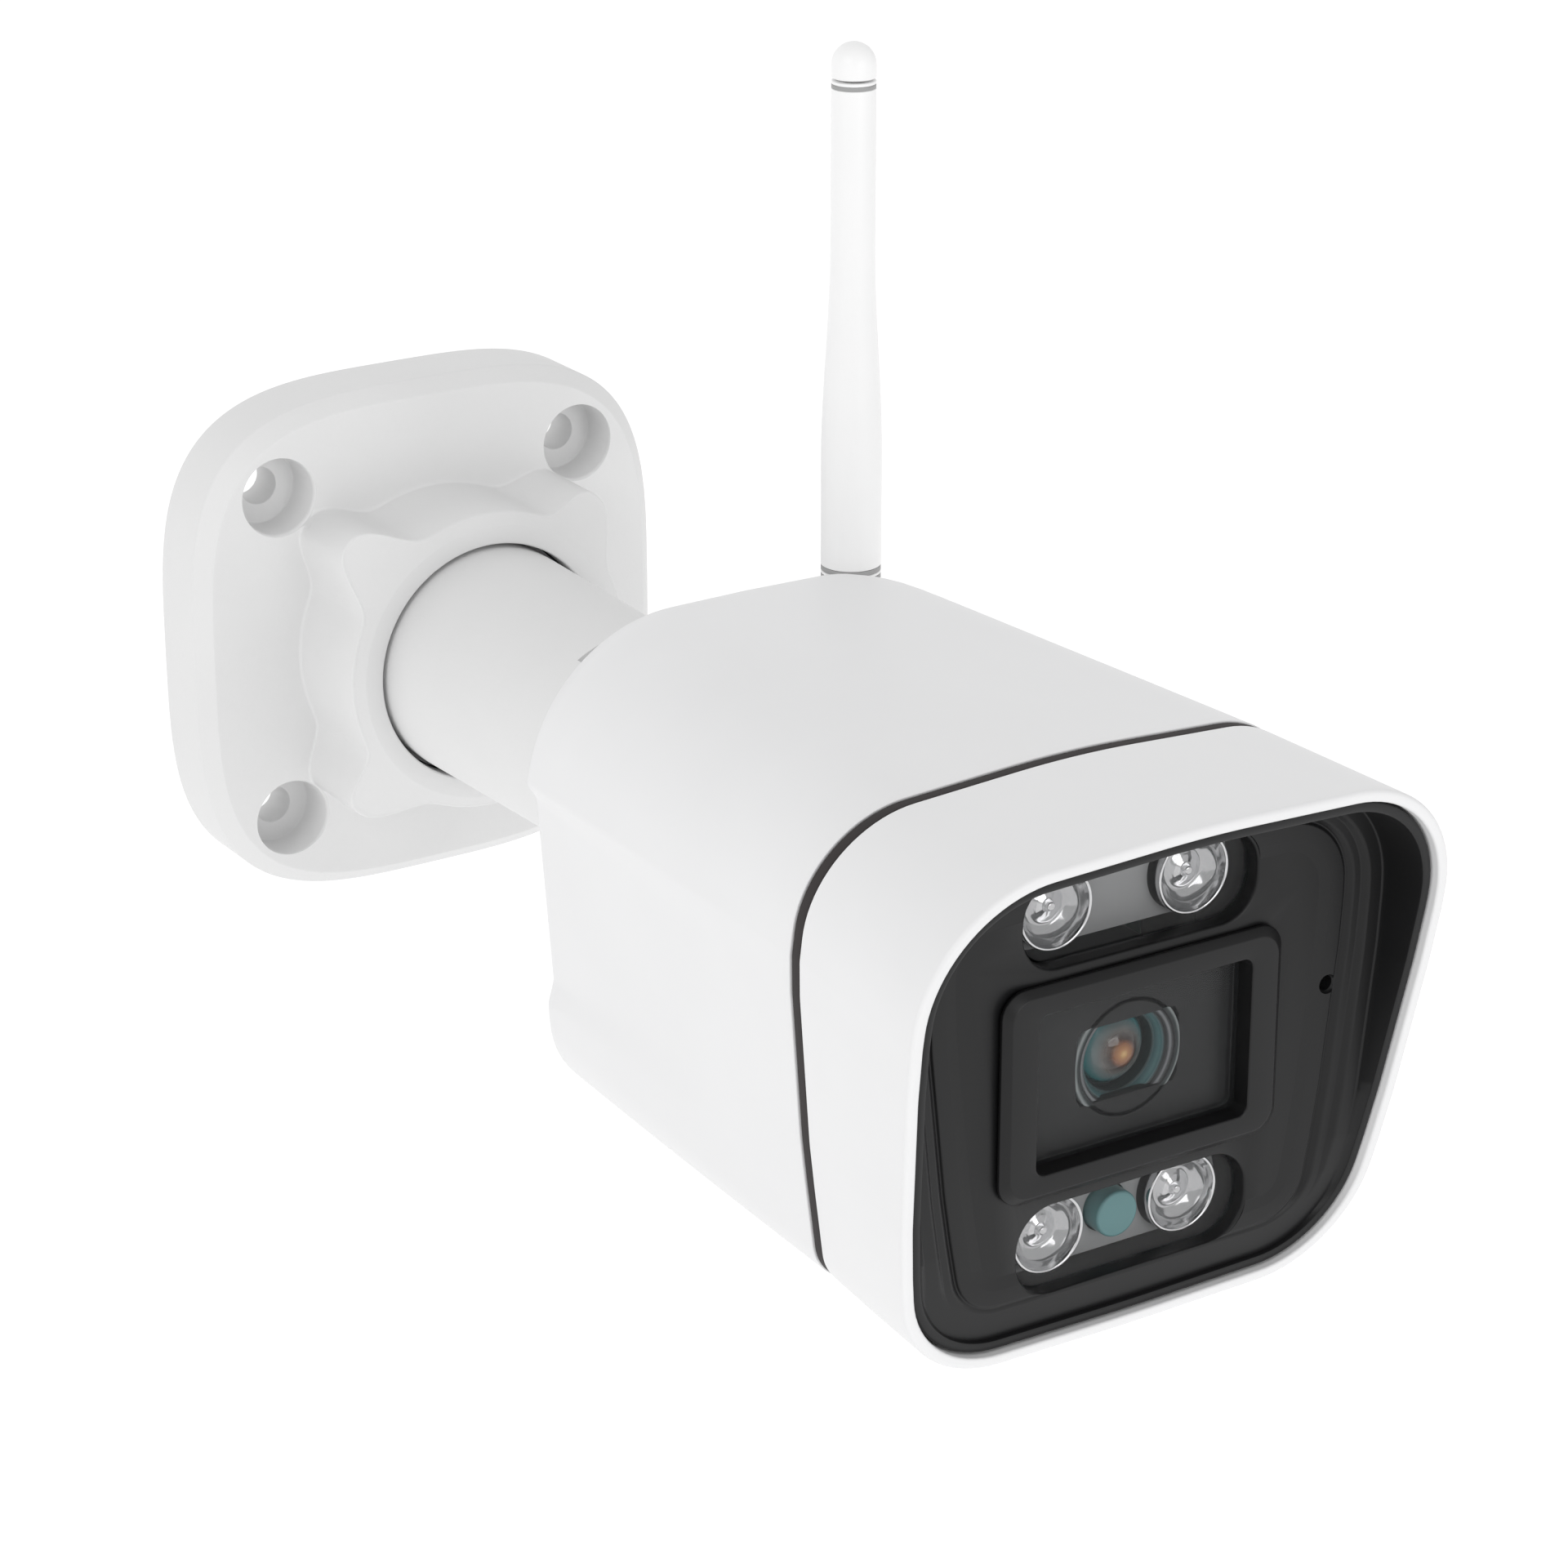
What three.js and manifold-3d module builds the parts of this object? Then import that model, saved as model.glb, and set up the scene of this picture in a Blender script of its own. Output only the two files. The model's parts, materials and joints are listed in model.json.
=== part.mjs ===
// Outdoor bullet security camera on a pan, tilt and roll wall bracket, with a folding aerial.
// Millimetres, +Z up. The origin is the centre of the wall plate's back face, the wall is the
// plane y = 0, and the camera looks along -Y. Each sub-part is one named mesh.
import * as THREE from 'three';
import { mergeVertices } from 'three/addons/utils/BufferGeometryUtils.js';
import Module from 'manifold-3d';

const wasm = await Module();
wasm.setup();

// ---------------------------------------------------------------- driving dimensions

const GAP = 0.3;                    // clearance between neighbouring pieces
const SLIP = 0.6;                   // clearance around parts that turn
const CUT = 1;                      // how far a cutter runs past the face it opens

const PLATE_HALF = 34.6;            // half width of the wall plate's side wall
const PLATE_SLOPE = 1.9;            // width of the sloped edge round its front face
const PLATE_THICK = 12;
const PLATE_CHAMFER = 2.05;         // depth of the sloped edge round the face
const PLATE_CROWN = 0.8;            // how far the front face bulges
const PLATE_POWER = 3.5;            // superellipse power of the plate's outline

const WALL_HOLE_PITCH = 45;         // screw holes stand on a square of this side
const WALL_HOLE_R = 2.5;
const WALL_SINK_R = 5.12;
const WALL_SINK_DEPTH = 6.5;

const BOSS_WALL = 1.7;              // boss between its lobes, past its collar
const LOBE_RISE = 6;                // how far a lobe stands out past the boss
const LOBE_WIDTH = 11.8;            // angular half width of a lobe, degrees
const LOBE_POWER = 2.6;
const BOSS_HEIGHT = 15;             // from the plate's face to the collar round the arm
const BOSS_COLLAR = 3.1;            // width of the flat ring round the arm
const BOSS_SLOPE = 0.52;            // fall of the boss's top per mm outside that ring
const BOSS_LIP = 3.4;               // wall in front of the arm's flange

const ARM_ROOT_R = 15.6;            // arm where it leaves the boss
const ARM_TAPER = 1;                // how much slimmer it is where its round end starts
const ARM_END_DEPTH = 14.2;         // length of that round end
const ARM_WALL = 2.6;
const FLANGE_RISE = 2.5;            // arm flange held inside the boss, past the arm's root
const FLANGE_THICK = 3;
const FRICTION_THICK = 0.9;         // friction ring between flange and boss
const ARM_REACH = 43.8;             // elbow axis, from the boss's top
const ELBOW_SLOT = 15.2;            // width of the slot in the arm's end
const ELBOW_SLOT_DEPTH = 8.3;       // slot bottom, from the elbow axis
const PIVOT_R = 2.6;                // elbow screw shank
const PIVOT_HEAD_R = 4.2;
const PIVOT_HEAD_THICK = 2.4;
const PIVOT_EAR = 3.8;              // wall of each ear under the head
const PIVOT_KEY = 3;                // hexagon socket in the elbow screw
const PIVOT_KEY_DEPTH = 1.6;
const PIVOT_NUT = 7.8;              // elbow nut, across its flats
const PIVOT_STUB = 0.4;             // how far the screw's end stays inside the nut's face
const WASHER_THICK = 0.7;

const RING_SEAT = 10;               // depth of the retaining ring's pocket
const RING_RISE = 5.5;              // retaining ring past the flange
const RING_THICK = 3;
const RING_SCREW_INSET = 1.7;       // its screws, inside its edge
const RING_SCREW_LENGTH = 8;
const SCREW_R = 0.95;               // self-tapping screw shank
const SCREW_HEAD_R = 1.9;
const SCREW_HEAD_THICK = 1.5;
const SCREW_LENGTH = 14;            // hood screws, under the head
const PAN_TOP = 0.7;                // flat top of a screw head, as a share of its radius
const CABLE_R = 3.2;                // cable way through the grommet and the knuckle
const CABLE_WEB = 1.2;              // material between the elbow screw and the cable way
const GROMMET_FLARE = 3;            // how far the grommet's cone spreads past the cable way
const GROMMET_LIP = 1.6;            // how far that cone stands out on each side

const TONGUE_R = 7.7;               // knuckle tongue round the elbow axis
const NECK_HALF = 8.5;              // half height of the knuckle's neck
const DISC_R = 13.4;                // knuckle disc facing the housing
const DISC_THICK = 1.8;
const DISC_CHAMFER = 1;
const SEAL_THICK = 0.6;
const SEAL_INNER_R = 8.7;
const SPIGOT_R = 5.7;
const SPIGOT_LENGTH = 9.4;          // beyond the housing's rear face

const SWIVEL_WASHER_R = 9.6;        // washer and nut that hold the knuckle inside the head
const SWIVEL_WASHER_THICK = 0.8;
const SWIVEL_NUT = 16;
const SWIVEL_NUT_THICK = 4;

const ELBOW_TO_HEAD = 17.8;         // elbow axis to the housing's rear face
const BODY_WALL = 2.2;
const REAR_WALL = 2.6;
const REAR_EDGE = 1.4;              // rounding of the housing's rear edge
const SHOULDER_RUN = 5.4;           // rear face to where its shoulders have filled out
const SHOULDER_R = 16.8;            // their corner radius there
const HOUSING_LENGTH = 59.5;        // rear face to the gasket's rear side, at z = 0
const SEAM_GROOVE = 1.9;            // width of the gasket's visible band
const SEAM_SINK = 0.15;             // how far the gasket lies below the skins
const HOOD_LENGTH = 23.67;          // gasket's front side to the hood's rim, at z = 0
const SLANT = 0.1747;               // forward lean of the seam and rim planes, dy per dz
const RIM_WALL = 1.45;
const LIP_ROUND = 0.65;             // rounding of the hood's rim
const HOOD_FLANGE = 2.4;            // plate inside the hood that the screws hold
const HOOD_OPEN_W = 18.5;           // half size of the opening in that plate
const HOOD_OPEN_H = 21;
const HOOD_OPEN_Z = -2.5;
const HOOD_OPEN_CORNER = 6;
const HOOD_SCREWS = [[24.5, 17], [-24.5, 17], [-21.5, -21], [21.5, -21]];
const HOOD_SCREW_LIFT = 0.4;        // head of a hood screw over its seat, besides GAP
const POST_R = 3.4;                 // posts that take the hood screws
const POST_LENGTH = 16;
const POST_SPREAD = 1.1;            // a second post this much farther out ties each to the skin
const POST_FLOOR = 2;               // material left under each screw hole

const BOARD_HALF_W = 16.5;          // main board
const BOARD_HALF_H = 23;
const BOARD_CORNER = 2;
const BOARD_SCREWS = [[12.5, 19], [-12.5, 19], [-12.5, -19], [12.5, -19]];
const BOARD_SCREW_LENGTH = 8;
const BOARD_POST_R = 2.4;
const BOARD_STAND = 12;             // main board in front of the rear wall
const PROCESSOR = [-7, 7, -8, 6];   // x and z limits of the modules on the main board
const PROCESSOR_THICK = 1.6;
const RADIO = [-7, 7, 9, 17.5];
const RADIO_THICK = 2.4;

const BEZEL_SINK = 6.07;            // bezel face behind the rim, at z = 0
const BEZEL_THICK = 2.2;
const SKIRT_WALL = 1.2;             // bezel skirt that lines the hood
const SKIRT_SINK = 0.9;             // skirt edge behind the rim
const STEP_INSET = 3.4;             // raised border round the bezel face
const STEP_RISE = 0.8;
const BEZEL_RUN = 16;               // stretch of the hood's taper that the bezel is cut from

const LENS_Z = -2.4;                // lens axis height
const FRAME_SIDE = 4.45;            // lens frame beside its pocket
const FRAME_ENDS = 3.2;             // and above and below it
const FRAME_PROUD = 1.45;
const FRAME_BEVEL = 1;
const FRAME_STEP = 2.5;             // how far the frame laps over the bezel
const FRAME_FLOOR = 1.2;
const FRAME_CORNER = 3;
const SPIGOT_CORNER = 1.5;          // corner of the frame's back and of its hole in the bezel
const POCKET_HALF_W = 14.1;
const POCKET_HALF_H = 9.3;
const POCKET_DEPTH = 3.2;           // from the frame's front to the pocket's floor
const POCKET_CORNER = 1.6;
const GLASS_THICK = 1;
const LENS_HEAD_R = 7.2;
const LENS_BARREL_R = 5.6;
const LENS_LENGTH = 15;
const LENS_BORE_R = 4.6;
const LENS_BORE_DEPTH = 2;          // conical mouth of the lens
const LENS_WELL = 3.6;              // depth of the front element's seat
const LENS_HEAD_THICK = 4;
const LENS_EDGE = 0.5;              // chamfer of the lens head
const LENS_RIM = 1.2;               // flat ring round the mouth
const LENS_DOME = 1;                // front element's crown past the well
const LENS_BACK_CLEAR = 2.4;        // from the barrel's end to the sensor board's side
const LENS_HOLDER_HALF = 9;
const IMAGER_HALF = 4;
const IMAGER_THICK = 1.2;
const SENSOR_BOARD_HALF = 15;

const LED_WINDOW_HALF_W = 15.4;
const LED_WINDOW_HALF_H = 5.25;
const LED_WINDOW_ABOVE = 1.05;      // upper window over the lens frame
const LED_WINDOW_BELOW = 1.6;       // lower window under the lens frame
const LED_PANE_THICK = 0.9;
const LED_PANE_SINK = 1.2;
const LED_X = 9.1;
const LED_R = 4.8;
const LED_DEPTH = 4.6;              // length of a collimator
const LED_CHIP_SIZE = 3;
const LED_CHIP_THICK = 0.8;
const LED_BACK_R = 2;               // small end of a collimator, towards its emitter
const LED_BULGE = 0.4;              // how far its side stands out from a straight cone
const LED_RIM = 0.45;               // width of its flat rim
const LED_EDGE = 0.8;               // straight part of its side, behind the rim
const LED_DISH = 1.1;               // depth of the dish inside the rim
const LED_CROWN_R = 1.6;            // domed centre of that dish
const LED_CROWN_SINK = 0.4;
const LED_BOARD_HALF_W = 14.5;
const LED_BOARD_HALF_H = 5.6;
const BOARD_ROUND = 1;              // corners of the small boards and the lens holder
const SENSOR_CHAMFER = 0.4;
const BOARD_THICK = 1.4;
const SENSOR_R = 2.8;
const MIC_X = 25.7;
const MIC_Z = 0.6;
const MIC_HOLE_R = 0.9;
const MIC_R = 2;
const MIC_THICK = 2.2;

const AERIAL_X = 21.2;              // aerial axis
const AERIAL_BEHIND = 8.6;          // aerial axis behind the housing's rear face
const AERIAL_HINGE_Z = 12;
const AERIAL_TIP_Z = 89.55;
const AERIAL_BASE_R = 3.72;
const AERIAL_TOP_R = 2.7;
const AERIAL_TAPER_LOW_Z = 38.5;
const AERIAL_TAPER_HIGH_Z = 65;
const AERIAL_CAP_Z = 85;            // joint between the sleeve and its cap
const AERIAL_BORE_R = 1.6;
const RADIATOR_R = 1;
const YOKE_R = 5.2;
const YOKE_SLOT = 4.4;
const JACK_R = 2.9;
const JACK_FLANGE = 1;
const JACK_FLANGE_R = 4.6;
const JACK_INSIDE = 6.4;            // length of the jack past the housing's rear face
const JACK_SOCKET = 2.6;            // how far the jack enters the yoke
const JACK_NUT = 8;
const JACK_NUT_THICK = 2.2;
const YOKE_ROUND = 0.8;             // how much smaller the yoke's round end is
const FOOT_CLEAR = 1.6;             // how much smaller the sleeve's foot is than the yoke
const SLEEVE_LIFT = 0.2;            // sleeve's shoulder over the yoke
const SLEEVE_EDGE = 0.4;            // chamfer of that shoulder
const BORE_START = 6;               // bore for the radiator, over the shoulder
const PIN_R = 1.3;

const FINE = 32;                    // segments round the large round parts
const ROUND = 16;                   // segments round the small ones
const PLATE_STEPS = 48;             // points round the wall plate
const COARSE = 8;                   // segments round screws and hidden parts
const BOSS_STEPS = 72;              // points round the boss

// Distances from the wall, and radii that follow the arm.
const PLATE_FACE_HALF = PLATE_HALF - PLATE_SLOPE;
const BOSS_TOP_Y = PLATE_THICK + BOSS_HEIGHT;
const ELBOW_Y = BOSS_TOP_Y + ARM_REACH;
const BODY_REAR_Y = ELBOW_Y + ELBOW_TO_HEAD;
const SHOULDER_Y = BODY_REAR_Y + SHOULDER_RUN;
const SEAM_Y = BODY_REAR_Y + HOUSING_LENGTH;
const RIM_Y = SEAM_Y + SEAM_GROOVE + HOOD_LENGTH;
const BEZEL_Y = RIM_Y - BEZEL_SINK;
const AERIAL_Y = BODY_REAR_Y - AERIAL_BEHIND;
const FRAME_HALF_W = POCKET_HALF_W + FRAME_SIDE;
const FRAME_HALF_H = POCKET_HALF_H + FRAME_ENDS;
const ARM_END_R = ARM_ROOT_R - ARM_TAPER;
const FLANGE_R = ARM_ROOT_R + FLANGE_RISE;
const RING_R = FLANGE_R + RING_RISE;
const RING_SCREW_CIRCLE_R = RING_R - RING_SCREW_INSET;
const BOSS_COLLAR_R = ARM_ROOT_R + BOSS_COLLAR;
const BOSS_R = BOSS_COLLAR_R + BOSS_WALL;

// Right half of each body section, as polygon corners [x, z, radius] from the top centre to
// the bottom centre. The side has a shallow scallop at the rear that runs out at the seam.
const REAR_SECTION = [
  [0, 28.35, 60], [26.4, 28.0, 20.5], [30.35, 10.0, 1.2], [29.1, 8.2, 2],
  [27.3, -15.6, 2.5], [28.1, -18.6, 2.5], [27.2, -31.7, 11.4], [0, -31.9, 60],
];
const SEAM_SECTION = [
  [0, 28.9, 132], [33.1, 26.9, 13.3], [33.1, 11.5, 6], [32.55, 7, 20],
  [29.05, -12.45, 40], [27.7, -18.6, 40], [24.1, -34.2, 8], [0, -34.4, 100],
];
const RIM_SECTION = [
  [0, 28.95, 150], [34.9, 27.6, 16], [34.95, 10.5, 10], [34.65, 4, 40],
  [33.15, -12.45, 40], [32.3, -18.6, 20], [29.8, -33.5, 14.6], [0, -33.95, 300],
];
const CORNER_STEPS = [2, 6, 1, 1, 1, 1, 5, 2];

// ---------------------------------------------------------------- solids

// A closed geometry becomes a solid. Triangles are turned round if the solid is inside out.
function solid(geometry) {
  const bare = geometry.clone();
  bare.deleteAttribute('normal');
  bare.deleteAttribute('uv');
  const merged = mergeVertices(bare.index ? bare.toNonIndexed() : bare, 1e-4);
  const positions = new Float32Array(merged.attributes.position.array);
  const triangles = new Uint32Array(merged.index.array);
  const made = new wasm.Manifold(new wasm.Mesh({
    numProp: 3, vertProperties: positions, triVerts: triangles,
  }));
  if (made.volume() > 0) return made;
  const flipped = triangles.map((_, i) => triangles[i - (i % 3) + (2 - (i % 3))]);
  return new wasm.Manifold(new wasm.Mesh({
    numProp: 3, vertProperties: positions, triVerts: flipped,
  }));
}

function geometryOf(made) {
  const mesh = made.getMesh();
  const geometry = new THREE.BufferGeometry();
  const points = new Float32Array(mesh.numVert * 3);
  for (let i = 0; i < mesh.numVert; i++) {
    for (let k = 0; k < 3; k++) points[3 * i + k] = mesh.vertProperties[i * mesh.numProp + k];
  }
  geometry.setAttribute('position', new THREE.BufferAttribute(points, 3));
  geometry.setIndex(Array.from(mesh.triVerts));
  geometry.computeVertexNormals();
  return geometry;
}

const union = (first, ...rest) => rest.reduce((sum, next) => sum.add(next), first);
const cut = (first, ...rest) => rest.reduce((left, next) => left.subtract(next), first);

// Turns an outline [radius, distance along the axis] round an axis parallel to Y.
function turned(profile, segments, x = 0, z = 0) {
  const points = profile.map(([r, y]) => new THREE.Vector2(r, y));
  points.push(points[0].clone());
  const geometry = new THREE.LatheGeometry(points, segments);
  geometry.rotateY(Math.PI / segments);
  geometry.translate(x, 0, z);
  return solid(geometry);
}

// Rod or disc along Y between two distances from the wall.
function rodY(radius, nearY, farY, segments, x = 0, z = 0) {
  return turned([[0, -farY], [radius, -farY], [radius, -nearY], [0, -nearY]], segments, x, z);
}

function ringY(outer, inner, nearY, farY, segments, x = 0, z = 0) {
  return turned(
    [[inner, -farY], [outer, -farY], [outer, -nearY], [inner, -nearY]], segments, x, z);
}

// Rod along X between two positions.
function rodX(radius, fromX, toX, y, z, segments) {
  const geometry = new THREE.CylinderGeometry(radius, radius, toX - fromX, segments);
  geometry.rotateZ(Math.PI / 2);
  geometry.translate((fromX + toX) / 2, y, z);
  return solid(geometry);
}

// Box between two corners.
function block(x0, x1, y0, y1, z0, z1) {
  const geometry = new THREE.BoxGeometry(x1 - x0, y1 - y0, z1 - z0);
  geometry.translate((x0 + x1) / 2, (y0 + y1) / 2, (z0 + z1) / 2);
  return solid(geometry);
}

// Prism of a shape drawn in (x, z), between two distances from the wall.
function prismY(shape, nearY, farY, curveSegments = 4) {
  const geometry = new THREE.ExtrudeGeometry(shape, {
    depth: farY - nearY, bevelEnabled: false, curveSegments,
  });
  geometry.rotateX(Math.PI / 2);
  geometry.translate(0, -nearY, 0);
  return solid(geometry);
}

// Rectangle with round corners in (x, z), centred on (cx, cz).
function roundedBox(halfW, halfH, radius, cx = 0, cz = 0) {
  const shape = new THREE.Shape();
  const corners = [[1, -1, -90], [1, 1, 0], [-1, 1, 90], [-1, -1, 180]];
  for (const [sx, sz, start] of corners) {
    const from = THREE.MathUtils.degToRad(start);
    shape.absarc(cx + sx * (halfW - radius), cz + sz * (halfH - radius), radius,
      from, from + Math.PI / 2, false);
  }
  shape.closePath();
  return shape;
}

function hexagon(acrossFlats, cx = 0, cz = 0) {
  const shape = new THREE.Shape();
  const radius = acrossFlats / Math.sqrt(3);
  for (let i = 0; i < 6; i++) {
    const angle = i * Math.PI / 3;
    const x = cx + radius * Math.cos(angle);
    const z = cz + radius * Math.sin(angle);
    if (i === 0) shape.moveTo(x, z);
    else shape.lineTo(x, z);
  }
  shape.closePath();
  return shape;
}

// Skin through a row of sections, each a ring of the same number of points, with flat ends.
function loft(sections) {
  const count = sections[0].length;
  const positions = sections.flatMap((ring) => ring.flatMap((p) => [p.x, p.y, p.z]));
  const index = [];
  for (let s = 0; s + 1 < sections.length; s++) {
    for (let i = 0; i < count; i++) {
      const a = s * count + i;
      const b = s * count + (i + 1) % count;
      index.push(a, b, b + count, a, b + count, a + count);
    }
  }
  const flat = sections[0].map((p) => new THREE.Vector2(p.x, p.z));
  const last = (sections.length - 1) * count;
  for (const [a, b, c] of THREE.ShapeUtils.triangulateShape(flat, [])) {
    index.push(c, b, a);
  }
  const end = sections[sections.length - 1].map((p) => new THREE.Vector2(p.x, p.z));
  for (const [a, b, c] of THREE.ShapeUtils.triangulateShape(end, [])) {
    index.push(last + a, last + b, last + c);
  }
  const geometry = new THREE.BufferGeometry();
  geometry.setAttribute('position', new THREE.Float32BufferAttribute(positions, 3));
  geometry.setIndex(index);
  return solid(geometry);
}

// ---------------------------------------------------------------- body sections

// Moves every side of a polygon inwards and finds the new corners. Outer corners lose as
// much radius as the polygon loses width, and inner corners gain it.
function insetCorners(corners, inset) {
  const count = corners.length;
  return corners.map(([x, z, radius], i) => {
    const before = corners[(i + count - 1) % count];
    const after = corners[(i + 1) % count];
    const dirIn = new THREE.Vector2(x - before[0], z - before[1]).normalize();
    const dirOut = new THREE.Vector2(after[0] - x, after[1] - z).normalize();
    const turn = dirIn.cross(dirOut);
    const normal = new THREE.Vector2(dirIn.y + dirOut.y, -dirIn.x - dirOut.x).normalize();
    const reach = inset / Math.sqrt((1 + dirIn.dot(dirOut)) / 2);
    const smallest = 0.4;
    const kept = turn < 0 ? Math.max(radius - inset, smallest) : radius + inset;
    return [x + normal.x * reach, z + normal.y * reach, kept];
  });
}

// Closed ring of points for a half section: mirrored, inset, with its corners rounded, and
// running anticlockwise like every other ring that loft() takes.
function sectionRing(half, inset, yAt) {
  const mirrored = half.slice(1, -1).reverse().map(([x, z, r]) => [-x, z, r]);
  const corners = insetCorners([...half, ...mirrored], inset);
  const inner = CORNER_STEPS.slice(1, -1);
  const steps = [...CORNER_STEPS, ...inner.reverse()];
  const ring = [];
  corners.forEach(([x, z, radius], i) => {
    const before = corners[(i + corners.length - 1) % corners.length];
    const after = corners[(i + 1) % corners.length];
    const dirIn = new THREE.Vector2(x - before[0], z - before[1]).normalize();
    const dirOut = new THREE.Vector2(after[0] - x, after[1] - z).normalize();
    const angle = Math.atan2(dirIn.cross(dirOut), dirIn.dot(dirOut));
    const tangent = radius * Math.tan(Math.abs(angle) / 2);
    const start = new THREE.Vector2(x - dirIn.x * tangent, z - dirIn.y * tangent);
    const side = Math.sign(angle);
    const centre = new THREE.Vector2(
      start.x - side * dirIn.y * radius, start.y + side * dirIn.x * radius);
    for (let k = 0; k <= steps[i]; k++) {
      const spoke = start.clone().rotateAround(centre, angle * k / steps[i]);
      ring.push(new THREE.Vector3(spoke.x, yAt(spoke.y), spoke.y));
    }
  });
  return ring.reverse();
}

// Section part of the way from one section to another.
function mixSections(from, to, t) {
  return from.map((corner, i) => corner.map((value, k) => value + (to[i][k] - value) * t));
}

const flatAt = (distance) => () => -distance;
const slantAt = (distance) => (z) => -distance - SLANT * z;

// ---------------------------------------------------------------- materials

function material(color, roughness, metalness = 0) {
  return new THREE.MeshStandardMaterial({ color, roughness, metalness });
}
const WHITE = () => material(0xeeeeec, 0.45);
const BLACK = () => material(0x1a1a1b, 0.5);
const RUBBER = () => material(0x2b2b2d, 0.8);
const STEEL = () => material(0xb8babd, 0.3, 0.9);
const BRASS = () => material(0xc9a45a, 0.3, 0.9);
const CLEAR = () => material(0xdfe6ea, 0.05);
const BOARD = () => material(0x1f5a3a, 0.55);

const camera = new THREE.Group();
function add(name, made, look) {
  const mesh = new THREE.Mesh(geometryOf(made), look);
  mesh.name = name;
  camera.add(mesh);
}

// ---------------------------------------------------------------- wall plate

function plateRing(half, yAt) {
  const ring = [];
  for (let i = 0; i < PLATE_STEPS; i++) {
    const angle = i / PLATE_STEPS * 2 * Math.PI;
    const c = Math.cos(angle);
    const s = Math.sin(angle);
    const r = half / (Math.abs(c) ** PLATE_POWER + Math.abs(s) ** PLATE_POWER)
      ** (1 / PLATE_POWER);
    ring.push(new THREE.Vector3(r * c, yAt, r * s));
  }
  return ring;
}

// Wavy outline of the boss: a circle with one lobe towards each screw hole.
function bossShape() {
  const points = [];
  for (let i = 0; i < BOSS_STEPS; i++) {
    const degrees = i * 360 / BOSS_STEPS;
    const fromLobe = Math.abs((degrees % 90) - 45) / LOBE_WIDTH;
    const r = BOSS_R + LOBE_RISE * Math.exp(-(fromLobe ** LOBE_POWER));
    const angle = THREE.MathUtils.degToRad(degrees);
    points.push(new THREE.Vector2(r * Math.cos(angle), r * Math.sin(angle)));
  }
  return new THREE.Shape(points);
}

const flangeFrontY = BOSS_TOP_Y - BOSS_LIP - FRICTION_THICK - 2 * GAP;
const flangeBackY = flangeFrontY - FLANGE_THICK;
const socketR = FLANGE_R + GAP;
const armBoreR = ARM_ROOT_R + SLIP;
const quarterTurns = [45, 135, 225, 315].map(THREE.MathUtils.degToRad);

function wallPlate() {
  const edgeY = PLATE_THICK - PLATE_CROWN;
  const sideY = edgeY - PLATE_CHAMFER;
  const domeSteps = [1, 0.72, 0.4];
  const plate = loft([
    plateRing(PLATE_HALF, 0),
    plateRing(PLATE_HALF, -sideY),
    ...domeSteps.map((t) => plateRing(PLATE_FACE_HALF * t,
      -edgeY - PLATE_CROWN * (1 - t * t))),
  ]);
  const crest = BOSS_R + LOBE_RISE + CUT;
  const cone = turned([
    [0, -edgeY + CUT], [crest, -edgeY + CUT],
    [crest, -BOSS_TOP_Y + BOSS_SLOPE * (crest - BOSS_COLLAR_R)],
    [BOSS_COLLAR_R, -BOSS_TOP_Y], [0, -BOSS_TOP_Y],
  ], FINE);
  const boss = prismY(bossShape(), edgeY - CUT, BOSS_TOP_Y).intersect(cone);
  let body = union(plate, boss);
  body = cut(body,
    rodY(armBoreR, 0, BOSS_TOP_Y + CUT, FINE),
    rodY(socketR, -CUT, BOSS_TOP_Y - BOSS_LIP, FINE),
    rodY(RING_R + GAP, -CUT, RING_SEAT, FINE));
  const half = WALL_HOLE_PITCH / 2;
  for (const [sx, sz] of [[1, 1], [-1, 1], [-1, -1], [1, -1]]) {
    const floorY = PLATE_THICK - WALL_SINK_DEPTH;
    body = cut(body,
      rodY(WALL_HOLE_R, -CUT, floorY + CUT, ROUND, sx * half, sz * half),
      rodY(WALL_SINK_R, floorY, BOSS_TOP_Y, ROUND, sx * half, sz * half));
  }
  for (const angle of quarterTurns) {
    const x = RING_SCREW_CIRCLE_R * Math.cos(angle);
    const z = RING_SCREW_CIRCLE_R * Math.sin(angle);
    body = cut(body, rodY(SCREW_R + GAP, RING_SEAT - CUT,
      RING_SEAT + RING_SCREW_LENGTH, COARSE, x, z));
  }
  return body;
}

function retainingRing() {
  const backY = RING_SEAT - GAP - RING_THICK;
  const seatY = RING_SEAT - GAP;
  const collarR = ARM_ROOT_R + GAP;
  let ring = turned([
    [collarR, -backY], [collarR, -flangeBackY + GAP], [FLANGE_R, -flangeBackY + GAP],
    [FLANGE_R, -seatY], [RING_R, -seatY], [RING_R, -backY],
  ], FINE);
  for (const angle of quarterTurns) {
    const x = RING_SCREW_CIRCLE_R * Math.cos(angle);
    const z = RING_SCREW_CIRCLE_R * Math.sin(angle);
    ring = cut(ring, rodY(SCREW_R + GAP, backY - CUT, seatY + CUT, COARSE, x, z));
  }
  return ring;
}

// Pan-head screw along Y. headY is the distance of the head's outer face, and sign is -1 when
// the tip points away from the wall and 1 when it points to the wall.
function panScrew(x, z, headY, length, sign) {
  const at = (distance) => sign * distance - headY;
  return turned([
    [0, at(0)], [SCREW_HEAD_R * PAN_TOP, at(0)], [SCREW_HEAD_R, at(SCREW_HEAD_THICK / 2)],
    [SCREW_HEAD_R, at(SCREW_HEAD_THICK)], [SCREW_R, at(SCREW_HEAD_THICK)],
    [SCREW_R, at(SCREW_HEAD_THICK + length - SCREW_R)], [0, at(SCREW_HEAD_THICK + length)],
  ], COARSE, x, z);
}

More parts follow.
